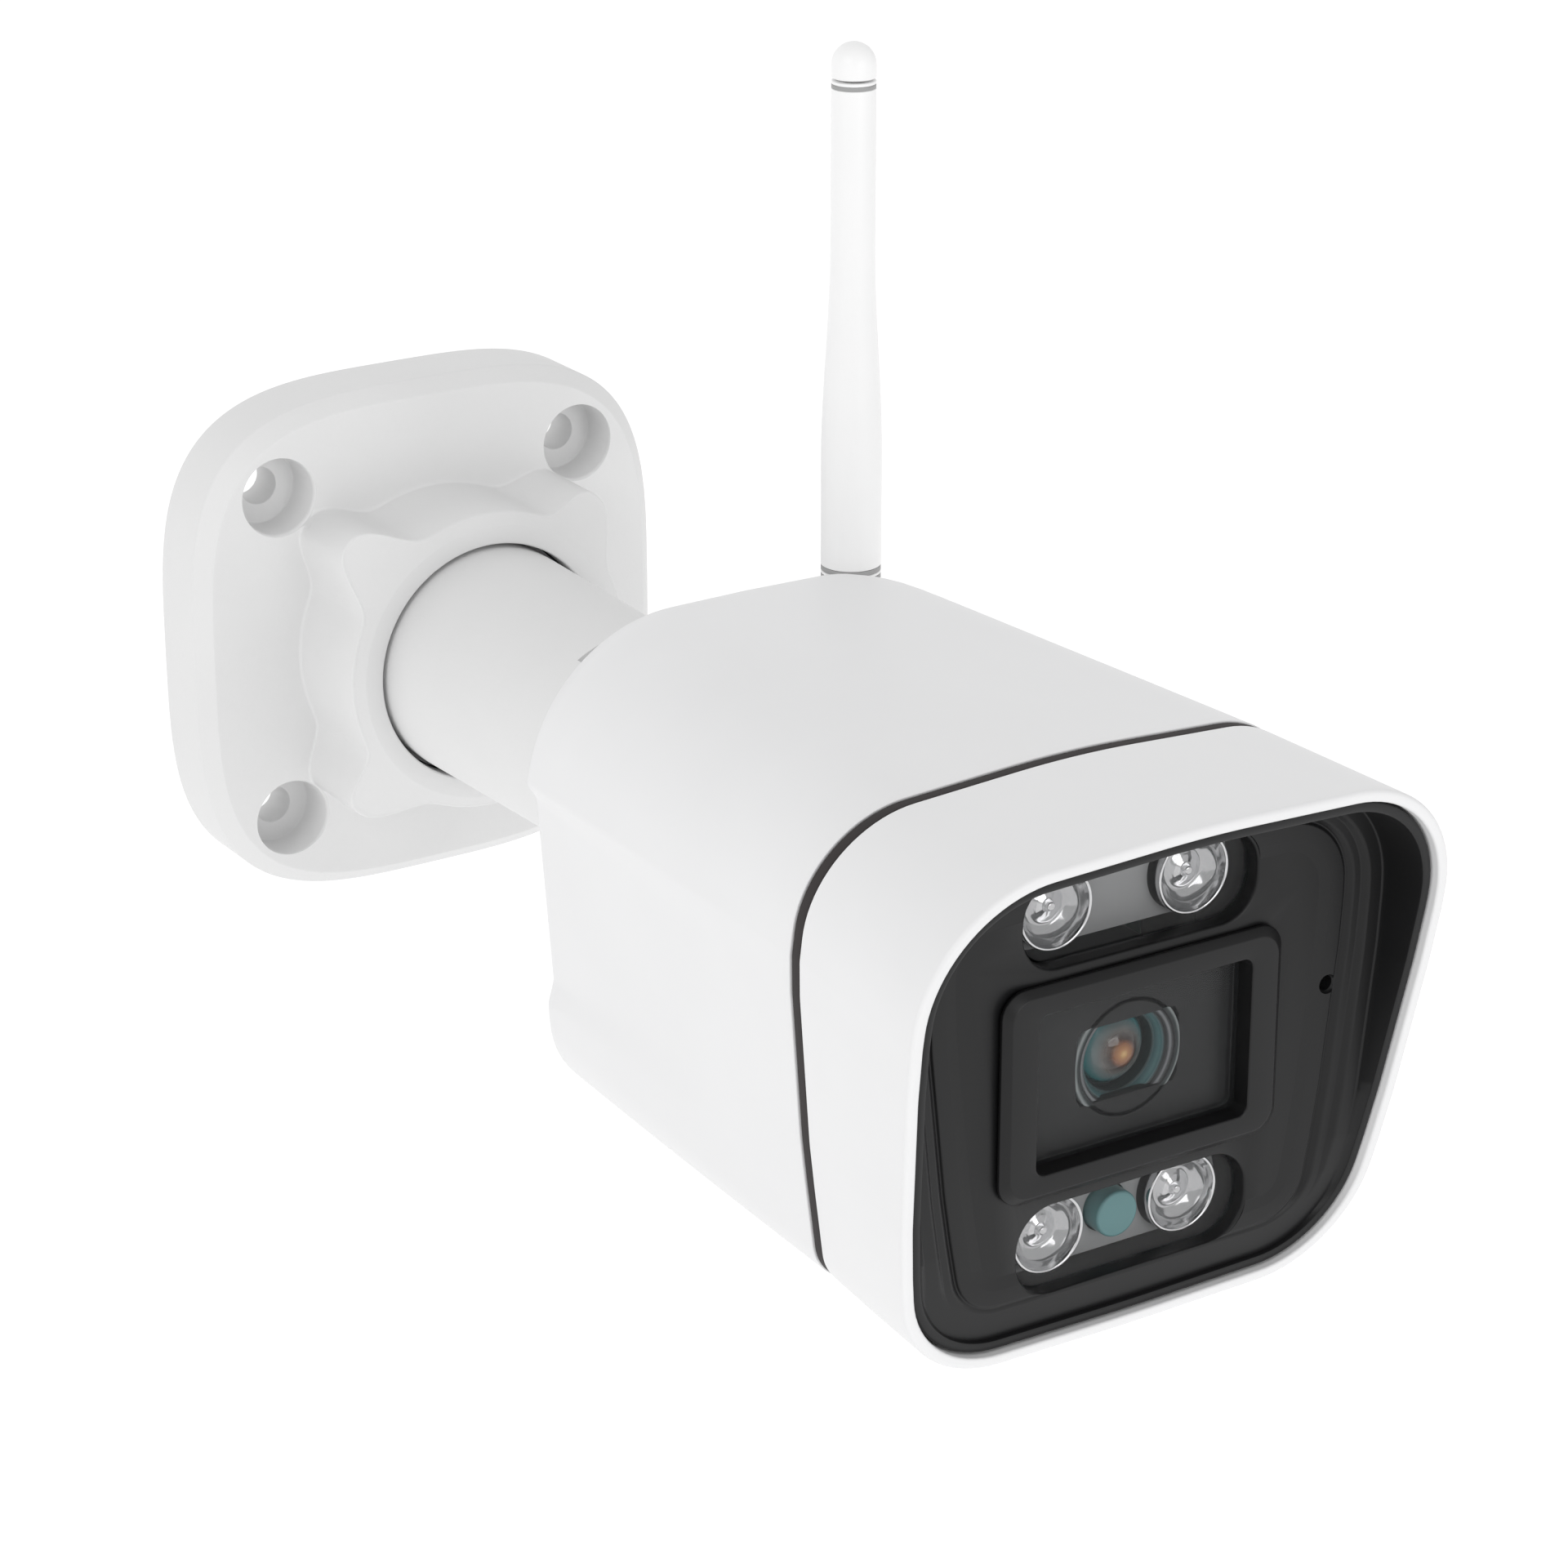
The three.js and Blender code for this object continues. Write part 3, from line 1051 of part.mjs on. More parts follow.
function aerialSleeve() {
  const steps = 8;
  const span = AERIAL_TAPER_HIGH_Z - AERIAL_TAPER_LOW_Z;
  const taper = Array.from({ length: steps + 1 }, (_, i) => {
    const z = AERIAL_TAPER_LOW_Z + span * i / steps;
    return [sleeveR(z), z];
  });
  const sleeve = turnedZ([
    [0, shoulderZ], [AERIAL_BASE_R - SLEEVE_EDGE, shoulderZ],
    [AERIAL_BASE_R, shoulderZ + SLEEVE_EDGE],
    ...taper, [AERIAL_TOP_R, AERIAL_CAP_Z], [AERIAL_BORE_R, AERIAL_CAP_Z],
    [AERIAL_BORE_R, boreZ], [0, boreZ],
  ], ROUND);
  const foot = aerialRodX(footR, footHalf, ROUND);
  const neck = block(AERIAL_X - footHalf, AERIAL_X + footHalf, -AERIAL_Y - footR,
    -AERIAL_Y + footR, AERIAL_HINGE_Z, shoulderZ + CUT);
  return cut(union(sleeve, foot, neck), aerialRodX(PIN_R + GAP, YOKE_R, COARSE));
}

function aerialCap() {
  const base = AERIAL_CAP_Z + GAP;
  const domeZ = AERIAL_TIP_Z - AERIAL_TOP_R;
  const steps = 6;
  const dome = Array.from({ length: steps }, (_, i) => {
    const angle = i / steps * Math.PI / 2;
    return [AERIAL_TOP_R * Math.cos(angle), domeZ + AERIAL_TOP_R * Math.sin(angle)];
  });
  return turnedZ([[0, base], [AERIAL_TOP_R, base], ...dome, [0, AERIAL_TIP_Z]], ROUND);
}

const jackNutY = rearInnerY + GAP;
const jackNutFarY = jackNutY + JACK_NUT_THICK;
add('aerial_jack', jack(), BRASS());
add('aerial_jack_nut', cut(prismY(hexagon(JACK_NUT, AERIAL_X, AERIAL_HINGE_Z), jackNutY,
  jackNutFarY), rodY(JACK_R + GAP, jackNutY - CUT, jackNutFarY + CUT, COARSE, AERIAL_X,
  AERIAL_HINGE_Z)), BRASS());
add('aerial_yoke', aerialYoke(), WHITE());
add('aerial_hinge_pin', aerialRodX(PIN_R, YOKE_R - 1, COARSE), STEEL());
add('aerial_sleeve', aerialSleeve(), WHITE());
add('aerial_radiator', turnedZ([
  [0, boreZ + GAP], [RADIATOR_R, boreZ + GAP],
  [RADIATOR_R, AERIAL_CAP_Z - CUT], [0, AERIAL_CAP_Z - CUT],
], COARSE), BRASS());
add('aerial_cap', aerialCap(), WHITE());

export default camera;
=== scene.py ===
import json
import math

import bmesh
import bpy
import numpy as np
from mathutils import Matrix, Vector


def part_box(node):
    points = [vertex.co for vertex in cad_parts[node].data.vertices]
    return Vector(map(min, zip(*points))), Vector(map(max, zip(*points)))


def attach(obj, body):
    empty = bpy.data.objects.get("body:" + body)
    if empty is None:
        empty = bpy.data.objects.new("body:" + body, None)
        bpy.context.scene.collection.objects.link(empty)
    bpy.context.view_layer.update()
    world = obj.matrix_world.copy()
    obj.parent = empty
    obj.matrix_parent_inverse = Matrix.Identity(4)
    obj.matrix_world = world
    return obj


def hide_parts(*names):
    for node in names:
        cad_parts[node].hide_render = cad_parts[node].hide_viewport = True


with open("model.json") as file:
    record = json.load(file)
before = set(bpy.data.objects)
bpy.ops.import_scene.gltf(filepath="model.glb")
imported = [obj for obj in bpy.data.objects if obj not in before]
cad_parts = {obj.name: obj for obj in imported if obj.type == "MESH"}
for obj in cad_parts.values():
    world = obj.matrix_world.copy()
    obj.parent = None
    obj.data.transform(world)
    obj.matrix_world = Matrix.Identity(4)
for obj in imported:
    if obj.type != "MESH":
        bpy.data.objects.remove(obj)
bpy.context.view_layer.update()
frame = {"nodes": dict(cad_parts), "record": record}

# Shapes are worked out in millimetres, with d = distance from the wall (d is -y), and become
# metres when a mesh is made.
MM = 0.001


def low(node, axis):
    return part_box(node)[0]["xyz".index(axis)] / MM


def high(node, axis):
    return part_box(node)[1]["xyz".index(axis)] / MM


def middle(node, axis):
    return (low(node, axis) + high(node, axis)) / 2


# ---------------------------------------------------------------- mesh helpers

def finish_mesh(obj, angle=35):
    obj.data.shade_smooth()
    obj.data.set_sharp_from_angle(angle=math.radians(angle))
    return obj


def make(name, points, faces, material, angle=35):
    mesh = bpy.data.meshes.new(name)
    mesh.from_pydata([tuple(p) for p in np.asarray(points, float) * MM], [], faces)
    work = bmesh.new()
    work.from_mesh(mesh)
    bmesh.ops.remove_doubles(work, verts=work.verts, dist=1e-7)
    bmesh.ops.dissolve_degenerate(work, edges=work.edges, dist=1e-8)
    bmesh.ops.recalc_face_normals(work, faces=work.faces)
    work.to_mesh(mesh)
    work.free()
    obj = bpy.data.objects.new(name, mesh)
    bpy.context.scene.collection.objects.link(obj)
    if material is not None:
        mesh.materials.append(material)
    return finish_mesh(obj, angle)


def grid(name, rings, material, loop=False, caps=(False, False), angle=35):
    """Skin through rings of equally many points; loop joins the last ring to the first."""
    rings = [np.asarray(r, float) for r in rings]
    count = len(rings[0])
    faces = []
    for j in range(len(rings) if loop else len(rings) - 1):
        a, b = j * count, (j + 1) % len(rings) * count
        for i in range(count):
            n = (i + 1) % count
            faces.append((a + i, a + n, b + n, b + i))
    if caps[0]:
        faces.append(tuple(range(count - 1, -1, -1)))
    if caps[1]:
        last = (len(rings) - 1) * count
        faces.append(tuple(last + i for i in range(count)))
    return make(name, np.concatenate(rings), faces, material, angle)


def soft(points, radius, steps=4, closed=False):
    """A polyline with its corners rounded. A third number in a point is its own radius."""
    made = []
    count = len(points)
    for i, point in enumerate(points):
        p = np.array(point[:2], float)
        if not closed and i in (0, count - 1):
            made.append(p)
            continue
        a = np.array(points[i - 1][:2], float)
        b = np.array(points[(i + 1) % count][:2], float)
        la, lb = np.linalg.norm(p - a), np.linalg.norm(b - p)
        u, v = (p - a) / la, (b - p) / lb
        turn = math.atan2(u[0] * v[1] - u[1] * v[0], float(u @ v))
        r = point[2] if len(point) > 2 else radius
        if abs(turn) < 0.02 or r <= 0:
            made.append(p)
            continue
        reach = min(r * math.tan(abs(turn) / 2), 0.45 * la, 0.45 * lb)
        r = reach / math.tan(abs(turn) / 2)
        start = p - u * reach
        side = math.copysign(1, turn)
        centre = start + side * r * np.array([-u[1], u[0]])
        arm = start - centre
        for k in range(steps + 1):
            t = turn * k / steps
            made.append(centre + np.array([
                arm[0] * math.cos(t) - arm[1] * math.sin(t),
                arm[0] * math.sin(t) + arm[1] * math.cos(t)]))
    return made


def lathe(name, profile, material, axis="y", at=(0, 0, 0), segments=96, loop=False, angle=35):
    """Turns (radius, place along the axis) round an axis through at."""
    turns = np.arange(segments) * 2 * math.pi / segments
    rings = []
    for r, s in profile:
        c, k = r * np.cos(turns), r * np.sin(turns)
        along = np.full(segments, s, float)
        columns = {"y": (c, -along, k), "z": (c, k, along), "x": (along, c, k)}[axis]
        rings.append(np.stack(columns, 1) + np.array(at))
    ends = not loop
    return grid(name, rings, material, loop, (ends and profile[0][0] > 1e-6,
                                              ends and profile[-1][0] > 1e-6), angle)


def baked(obj):
    """Applies the modifiers."""
    bpy.context.view_layer.update()
    graph = bpy.context.evaluated_depsgraph_get()
    mesh = bpy.data.meshes.new_from_object(obj.evaluated_get(graph))
    obj.modifiers.clear()
    old = obj.data
    obj.data = mesh
    bpy.data.meshes.remove(old)
    return obj


def combine(obj, others, operation, angle=35):
    for other in others:
        modifier = obj.modifiers.new("combine", "BOOLEAN")
        modifier.operation = operation
        modifier.solver = "EXACT"
        modifier.object = other
    baked(obj)
    for other in others:
        bpy.data.objects.remove(other)
    return finish_mesh(obj, angle)


def cut(obj, *others, angle=35):
    return combine(obj, others, "DIFFERENCE", angle)


def fuse(obj, *others, angle=35):
    return combine(obj, others, "UNION", angle)


def slab(x0, x1, d0, d1, z0, z1):
    x0, x1, z0, z1 = float(x0), float(x1), float(z0), float(z1)
    rings = [[(x0, -d, z0), (x1, -d, z0), (x1, -d, z1), (x0, -d, z1)] for d in (d0, d1)]
    return grid("cutter", rings, None, caps=(True, True))


def rod(radius, start, end, axis="y", at=(0, 0, 0), segments=64):
    return lathe("cutter", [(radius, start), (radius, end)], None, axis, at, segments)


def prism(outline, d0, d1, name="cutter", material=None):
    """Outline of (x, z) between two distances from the wall."""
    rings = [[(x, -d, z) for x, z in outline] for d in (d0, d1)]
    return grid(name, rings, material, caps=(True, True))


def eased(obj, width=0.2, segments=2, angle=40):
    """Rounds a CAD node's edges a little without touching its mesh."""
    obj.data.shade_smooth()
    obj.data.set_sharp_from_angle(angle=math.radians(angle))
    bevel = obj.modifiers.new("ease", "BEVEL")
    bevel.width = width * MM
    bevel.segments = segments
    bevel.limit_method = "ANGLE"
    bevel.angle_limit = math.radians(angle)
    bevel.use_clamp_overlap = True
    return obj


# ---------------------------------------------------------------- materials

def shader(name, color, rough, metal=0.0, alpha=1.0, coat=0.0, spec=0.5, vary=0.03,
           rough_vary=0.06, blotch=60.0, grain=2600.0, depth=0.00002):
    """Principled material. Slow noise shifts its colour and roughness, and fine noise is
    its surface grain."""
    material = bpy.data.materials.new(name)
    material.use_nodes = True
    nodes, links = material.node_tree.nodes, material.node_tree.links
    principled = nodes["Principled BSDF"]
    place = nodes.new("ShaderNodeTexCoord")
    slow = nodes.new("ShaderNodeTexNoise")
    slow.inputs["Scale"].default_value = blotch
    slow.inputs["Detail"].default_value = 4
    links.new(place.outputs["Object"], slow.inputs["Vector"])
    ramp = nodes.new("ShaderNodeValToRGB")
    ramp.color_ramp.elements[0].position = 0.3
    ramp.color_ramp.elements[1].position = 0.7
    ramp.color_ramp.elements[0].color = (*[c * (1 - vary) for c in color], 1)
    ramp.color_ramp.elements[1].color = (*[min(1, c * (1 + vary)) for c in color], 1)
    links.new(slow.outputs["Fac"], ramp.inputs["Fac"])
    links.new(ramp.outputs["Color"], principled.inputs["Base Color"])
    fine = nodes.new("ShaderNodeTexNoise")
    fine.inputs["Scale"].default_value = grain
    fine.inputs["Detail"].default_value = 2
    links.new(place.outputs["Object"], fine.inputs["Vector"])
    spread = nodes.new("ShaderNodeMapRange")
    spread.inputs["To Min"].default_value = max(0.02, rough - rough_vary)
    spread.inputs["To Max"].default_value = rough + rough_vary
    links.new(slow.outputs["Fac"], spread.inputs["Value"])
    links.new(spread.outputs["Result"], principled.inputs["Roughness"])
    if depth > 0:
        bump = nodes.new("ShaderNodeBump")
        bump.inputs["Strength"].default_value = 0.5
        bump.inputs["Distance"].default_value = depth
        links.new(fine.outputs["Fac"], bump.inputs["Height"])
        links.new(bump.outputs["Normal"], principled.inputs["Normal"])
    principled.inputs["Metallic"].default_value = metal
    principled.inputs["Alpha"].default_value = alpha
    principled.inputs["Specular IOR Level"].default_value = spec
    principled.inputs["Coat Weight"].default_value = coat
    principled.inputs["Coat Roughness"].default_value = 0.06
    return material


POWDER = shader("white_powder_coat", (0.765, 0.765, 0.765), 0.50, grain=2300, depth=0.00005,
                vary=0.012, spec=0.35)
SHELL = shader("white_satin_shell", (0.80, 0.80, 0.805), 0.38, grain=3600, depth=0.000008,
               vary=0.010, spec=0.4)
AERIAL_WHITE = shader("white_aerial_plastic", (0.91, 0.91, 0.91), 0.36, grain=3200,
                      depth=0.000008, vary=0.012, spec=0.4)
AERIAL_GREY = shader("grey_aerial_ring", (0.34, 0.34, 0.34), 0.5, grain=3000, depth=0.000008)
BEZEL = shader("black_front_plastic", (0.0085, 0.0085, 0.009), 0.40, grain=3400,
               depth=0.000010, vary=0.06, spec=0.30)
FRAME = shader("black_frame_plastic", (0.0085, 0.0085, 0.009), 0.38, grain=3400,
               depth=0.000008, vary=0.06, spec=0.30)
RUBBER = shader("dark_seam_rubber", (0.034, 0.029, 0.029), 0.72, grain=2000, depth=0.00003,
                vary=0.10, spec=0.3)
GROMMET = shader("black_grommet_rubber", (0.018, 0.018, 0.019), 0.75, grain=1800,
                 depth=0.00004, vary=0.10, spec=0.3)
STEEL = shader("machined_steel", (0.55, 0.56, 0.57), 0.32, metal=1.0, grain=900,
               depth=0.00001, vary=0.05, rough_vary=0.08)
BRASS = shader("plated_brass", (0.68, 0.52, 0.27), 0.28, metal=1.0, grain=1200,
               depth=0.00001, vary=0.05)
BOARD = shader("green_solder_mask", (0.015, 0.085, 0.045), 0.35, grain=700, depth=0.00002,
               vary=0.15, coat=0.3)
LIGHT_BOARD = shader("grey_light_board", (0.17, 0.172, 0.174), 0.55, grain=1500,
                     depth=0.00001, vary=0.06, spec=0.3)
TRAY = shader("grey_light_tray", (0.42, 0.425, 0.43), 0.6, grain=1900, depth=0.00003,
              vary=0.05, spec=0.3)
CHIP = shader("moulded_chip", (0.03, 0.03, 0.032), 0.5, grain=2500, depth=0.00002)
IMAGER = shader("image_sensor_face", (0.03, 0.035, 0.05), 0.12, grain=1500, depth=0)
EMITTER = shader("emitter_phosphor", (0.85, 0.72, 0.25), 0.45, grain=1500, depth=0.00001)
REFLECTOR = shader("bright_reflector", (0.86, 0.86, 0.87), 0.09, metal=1.0, grain=240,
                   depth=0.00035, vary=0.03, rough_vary=0.04)
ACRYLIC = shader("clear_acrylic", (0.50, 0.51, 0.52), 0.05, alpha=0.16, grain=500,
                 depth=0.00002, vary=0.02, rough_vary=0.02, spec=0.8)
PANE = shader("clear_pane", (0.05, 0.052, 0.054), 0.05, alpha=0.10, grain=600, depth=0,
              vary=0.02, rough_vary=0.02, spec=0.8)
TEAL = shader("teal_sensor_lens", (0.130, 0.300, 0.310), 0.38, grain=1800, depth=0.00001,
              vary=0.03, coat=0.2)
BARREL = shader("black_lens_barrel", (0.010, 0.0105, 0.0115), 0.30, grain=1500, depth=0.00001,
                vary=0.08, spec=0.3)
# Its base colour is replaced below by rings of painted reflection.
ELEMENT = shader("lens_glass_painted_reflections", (0.010, 0.045, 0.050), 0.03, alpha=0.70, grain=500,
                 depth=0, vary=0.1, rough_vary=0.01, spec=0.8)
INNER_ELEMENT = shader("inner_lens_glass", (0.22, 0.105, 0.035), 0.10, metal=0.6, grain=500,
                       depth=0, vary=0.3, blotch=420, rough_vary=0.03)


def radial(material, x, z, reach, stops):
    """Rings of colour round an axis along y, from the centre out to a radius in mm. Here they are
    painted highlights and reflections on the lens barrel and front glass.
    """
    nodes, links = material.node_tree.nodes, material.node_tree.links
    place = nodes.new("ShaderNodeTexCoord")
    mapping = nodes.new("ShaderNodeMapping")
    mapping.inputs["Location"].default_value = (-x / reach, 0, -z / reach)
    mapping.inputs["Scale"].default_value = (1 / (reach * MM), 0, 1 / (reach * MM))
    links.new(place.outputs["Object"], mapping.inputs["Vector"])
    length = nodes.new("ShaderNodeVectorMath")
    length.operation = "LENGTH"
    links.new(mapping.outputs["Vector"], length.inputs[0])
    ramp = nodes.new("ShaderNodeValToRGB")
    for _ in stops[2:]:
        ramp.color_ramp.elements.new(0.5)
    for element, (position, color) in zip(ramp.color_ramp.elements, stops):
        element.position = position
        element.color = (*color, 1)
    links.new(length.outputs["Value"], ramp.inputs["Fac"])
    links.new(ramp.outputs["Color"], nodes["Principled BSDF"].inputs["Base Color"])
    return material


# ---------------------------------------------------------------- body sections

# Right half of each body section as polygon corners (x, z, radius), from the top centre to
# the bottom centre: at the rear, at the seam and at the hood's rim.
REAR_SECTION = [
    (0, 28.35, 60), (26.4, 28.0, 20.5), (30.35, 10.0, 1.2), (29.1, 8.2, 2),
    (27.3, -15.6, 2.5), (28.1, -18.6, 2.5), (27.2, -31.7, 11.4), (0, -31.9, 60),
]
SEAM_SECTION = [
    (0, 28.9, 132), (33.1, 26.9, 13.3), (33.1, 11.5, 6), (32.55, 7, 20),
    (29.05, -12.45, 40), (27.7, -18.6, 40), (24.1, -34.2, 8), (0, -34.4, 100),
]
RIM_SECTION = [
    (0, 28.95, 150), (34.9, 27.6, 16), (34.95, 10.5, 10), (34.65, 4, 40),
    (33.15, -12.45, 40), (32.3, -18.6, 20), (29.8, -33.5, 14.6), (0, -33.95, 300),
]
CORNER_STEPS = [8, 20, 4, 4, 4, 4, 16, 8]
SLANT = 0.1747
REAR_EDGE = 1.4
REAR_D = -high("rear_housing", "y")
REAR_FULL_D = REAR_D + REAR_EDGE
RIM_TOP_Z = high("front_hood", "z")
RIM_D = -low("front_hood", "y") - SLANT * RIM_TOP_Z + 0.3
SEAM_D = 148.1
SEAM_GROOVE = 1.9
HOOD_D = SEAM_D + SEAM_GROOVE
SHELL_WALL = 2.2
REAR_WALL = 2.6
RIM_WALL = 1.45
SEAM_EDGE = 0.15            # rounding of both skins at the seam


def mixed(a, b, t):
    return [tuple(p + (q - p) * t for p, q in zip(c, e)) for c, e in zip(a, b)]


def inset_corners(corners, inset):
    made = []
    count = len(corners)
    for i, (x, z, radius) in enumerate(corners):
        a, b = corners[i - 1], corners[(i + 1) % count]
        u = np.array([x - a[0], z - a[1]])
        v = np.array([b[0] - x, b[1] - z])
        u, v = u / np.linalg.norm(u), v / np.linalg.norm(v)
        turn = u[0] * v[1] - u[1] * v[0]
        normal = np.array([u[1] + v[1], -u[0] - v[0]])
        normal /= np.linalg.norm(normal)
        reach = inset / math.sqrt((1 + float(u @ v)) / 2)
        kept = max(radius - inset, 0.4) if turn < 0 else radius + inset
        made.append((x + normal[0] * reach, z + normal[1] * reach, kept))
    return made


def section(half, inset):
    """Closed outline of (x, z), anticlockwise, always with the same number of points."""
    mirrored = [(-x, z, r) for x, z, r in half[1:-1][::-1]]
    corners = inset_corners(list(half) + mirrored, inset)
    steps = CORNER_STEPS + CORNER_STEPS[1:-1][::-1]
    made = []
    count = len(corners)
    for i, (x, z, radius) in enumerate(corners):
        p = np.array([x, z])
        a, b = np.array(corners[i - 1][:2]), np.array(corners[(i + 1) % count][:2])
        la, lb = np.linalg.norm(p - a), np.linalg.norm(b - p)
        u, v = (p - a) / la, (b - p) / lb
        turn = math.atan2(u[0] * v[1] - u[1] * v[0], float(u @ v))
        reach = radius * math.tan(abs(turn) / 2)
        start = p - u * reach
        side = math.copysign(1, turn)
        centre = start + side * radius * np.array([-u[1], u[0]])
        arm = start - centre
        for k in range(steps[i] + 1):
            t = turn * k / steps[i]
            made.append(centre + np.array([
                arm[0] * math.cos(t) - arm[1] * math.sin(t),
                arm[0] * math.sin(t) + arm[1] * math.cos(t)]))
    return np.array(made[::-1])


def lifted(outline, distance):
    """Ring in space: distance is a number or a function of z."""
    z = outline[:, 1]
    d = distance(z) if callable(distance) else np.full(len(z), float(distance))
    return np.stack([outline[:, 0], -d, z], 1)


def slanted(distance):
    return lambda z: distance + SLANT * z


def rear_ring(s, inset):
    """Ring of the rear housing, s = 0 where the rear face's rounding ends and 1 at the seam."""
    half = mixed(REAR_SECTION, SEAM_SECTION, s)
    run = (SEAM_D - REAR_FULL_D) * s
    shoulder = 13.3 + 3.8 * (1 - s) + 3.4 * math.exp(-run / 1.6)
    half[1] = (half[1][0], half[1][1], shoulder)
    return lifted(section(half, inset), lambda z: REAR_FULL_D + run + SLANT * s * z)


def hood_ring(distance, inset):
    t = (distance - HOOD_D) / (RIM_D - HOOD_D)
    return lifted(section(mixed(SEAM_SECTION, RIM_SECTION, t), inset), slanted(distance))


def circle_like(ring, radius, cx, cz, distance):
    """Circle with a point in the same direction as each point of a ring."""
    angle = np.unwrap(np.arctan2(ring[:, 2] - cz, ring[:, 0] - cx))
    return np.stack([cx + radius * np.cos(angle), np.full(len(ring), -float(distance)),
                     cz + radius * np.sin(angle)], 1)


def place(obj, body, slot, *nodes):
    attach(obj, body)
    if nodes:
        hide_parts(*nodes)
    return obj


# ---------------------------------------------------------------- rear housing

def quarter(radius, steps=6):
    """Pairs of (inset, set-back) round a quarter-circle edge, from the face to the side."""
    return [(radius * (1 - math.sin(a)), radius * (1 - math.cos(a)))
            for a in np.linspace(0, math.pi / 2, steps + 1)]


AERIAL_X = middle("aerial_jack", "x")
AERIAL_Z = middle("aerial_jack", "z")
SPIGOT_HOLE = 6.3
JACK_HOLE = 3.2
rear_wall_d = REAR_D + REAR_WALL
first = rear_ring(0, 0)
rings = [circle_like(first, SPIGOT_HOLE, 0, 0, rear_wall_d),
         circle_like(first, SPIGOT_HOLE, 0, 0, REAR_D + 0.3),
         circle_like(first, SPIGOT_HOLE + 0.3, 0, 0, REAR_D),
         circle_like(first, 12.0, 0, 0, REAR_D)]
for inset, back in quarter(REAR_EDGE):
    rings.append(lifted(section(REAR_SECTION, inset), REAR_D + back))
for s in (0.012, 0.03, 0.055, 0.09, 0.15, 0.24, 0.36, 0.5, 0.64, 0.78, 0.9, 0.975):
    rings.append(rear_ring(s, 0))
for inset, back in quarter(SEAM_EDGE, 4)[::-1]:
    rings.append(lifted(section(SEAM_SECTION, inset), slanted(SEAM_D - back)))
rings.append(lifted(section(SEAM_SECTION, SHELL_WALL), slanted(SEAM_D)))
rings.append(rear_ring(0.5, SHELL_WALL))
rings.append(rear_ring(0.08, SHELL_WALL))
rings.append(lifted(section(REAR_SECTION, SHELL_WALL), rear_wall_d))
housing = grid("rear_housing_shell", rings, SHELL, loop=True, angle=30)
cut(housing, rod(JACK_HOLE, REAR_D - 1, rear_wall_d + 1, at=(AERIAL_X, 0, AERIAL_Z)), angle=30)
place(housing, "camera_head", "white_metal", "rear_housing")

# ---------------------------------------------------------------- seam gasket

GASKET_GAP = 0.1
GASKET_SINK = 0.15
GASKET_INSET = 2.0
GASKET_ROUND = 0.3
rings = []
for inset, d in soft([(GASKET_INSET, SEAM_D + GASKET_GAP), (GASKET_SINK, SEAM_D + GASKET_GAP),
                      (GASKET_SINK, HOOD_D - GASKET_GAP), (GASKET_INSET, HOOD_D - GASKET_GAP)],
                     GASKET_ROUND, 5):
    rings.append(lifted(section(SEAM_SECTION, inset), slanted(d)))
gasket = grid("seam_gasket_band", rings, RUBBER, loop=True, angle=50)
place(gasket, "camera_head", "rubber", "seam_gasket")

# ---------------------------------------------------------------- front hood

LIP_OUTSIDE = 0.66          # roundings of the hood's rim
LIP_INSIDE = 0.35
HOOD_FLANGE = 2.4
HOOD_SCREW_HOLE = 1.25
rings = []
for inset, back in quarter(SEAM_EDGE, 4):
    rings.append(lifted(section(SEAM_SECTION, inset), slanted(HOOD_D + back)))
for t in (0.08, 0.2, 0.35, 0.5, 0.65, 0.8, 0.92):
    rings.append(hood_ring(HOOD_D + (RIM_D - HOOD_D) * t, 0))
for inset, back in quarter(LIP_OUTSIDE, 6)[::-1]:
    rings.append(hood_ring(RIM_D - back, inset))
for inset, back in quarter(LIP_INSIDE, 4):
    rings.append(hood_ring(RIM_D - back, RIM_WALL - inset))
rings.append(hood_ring(HOOD_D + 12, RIM_WALL))
rings.append(hood_ring(HOOD_D + HOOD_FLANGE, RIM_WALL))


def rounded_rect(half_w, half_h, radius, cx=0.0, cz=0.0, steps=6):
    corners = [(cx + half_w, cz - half_h), (cx + half_w, cz + half_h),
               (cx - half_w, cz + half_h), (cx - half_w, cz - half_h)]
    return soft(corners, radius, steps, closed=True)


def matched(ring, outline):
    """Points of an outline in the same directions as a ring's points."""
    outline = np.array(outline)
    centre = outline.mean(0)
    closed = np.vstack([outline, outline[:1]])
    made = []
    for x, z in ring[:, (0, 2)]:
        ray = np.array([x, z]) - centre
        ray /= np.linalg.norm(ray)
        best = None
        for a, b in zip(closed[:-1], closed[1:]):
            e = b - a
            det = ray[0] * -e[1] + e[0] * ray[1]
            if abs(det) < 1e-12:
                continue
            w = a - centre
            reach = (w[0] * -e[1] + e[0] * w[1]) / det
            share = (ray[0] * w[1] - ray[1] * w[0]) / det
            if reach > 0 and -1e-9 <= share <= 1 + 1e-9:
                best = reach
        made.append(centre + ray * best)
    return np.array(made)


opening = matched(rings[-1], rounded_rect(18.5, 21, 6, 0, -2.5))
rings.append(lifted(opening, slanted(HOOD_D + HOOD_FLANGE)))
rings.append(lifted(opening, slanted(HOOD_D)))
hood = grid("front_hood_shell", rings, SHELL, loop=True, angle=30)
bolts = [(24.5, 17), (-24.5, 17), (-21.5, -21), (21.5, -21)]
cut(hood, *[rod(HOOD_SCREW_HOLE, HOOD_D + SLANT * z - 1, HOOD_D + SLANT * z + HOOD_FLANGE + 1,
                at=(x, 0, z), segments=24) for x, z in bolts], angle=30)
place(hood, "camera_head", "white_plastic", "front_hood")

# ---------------------------------------------------------------- bezel

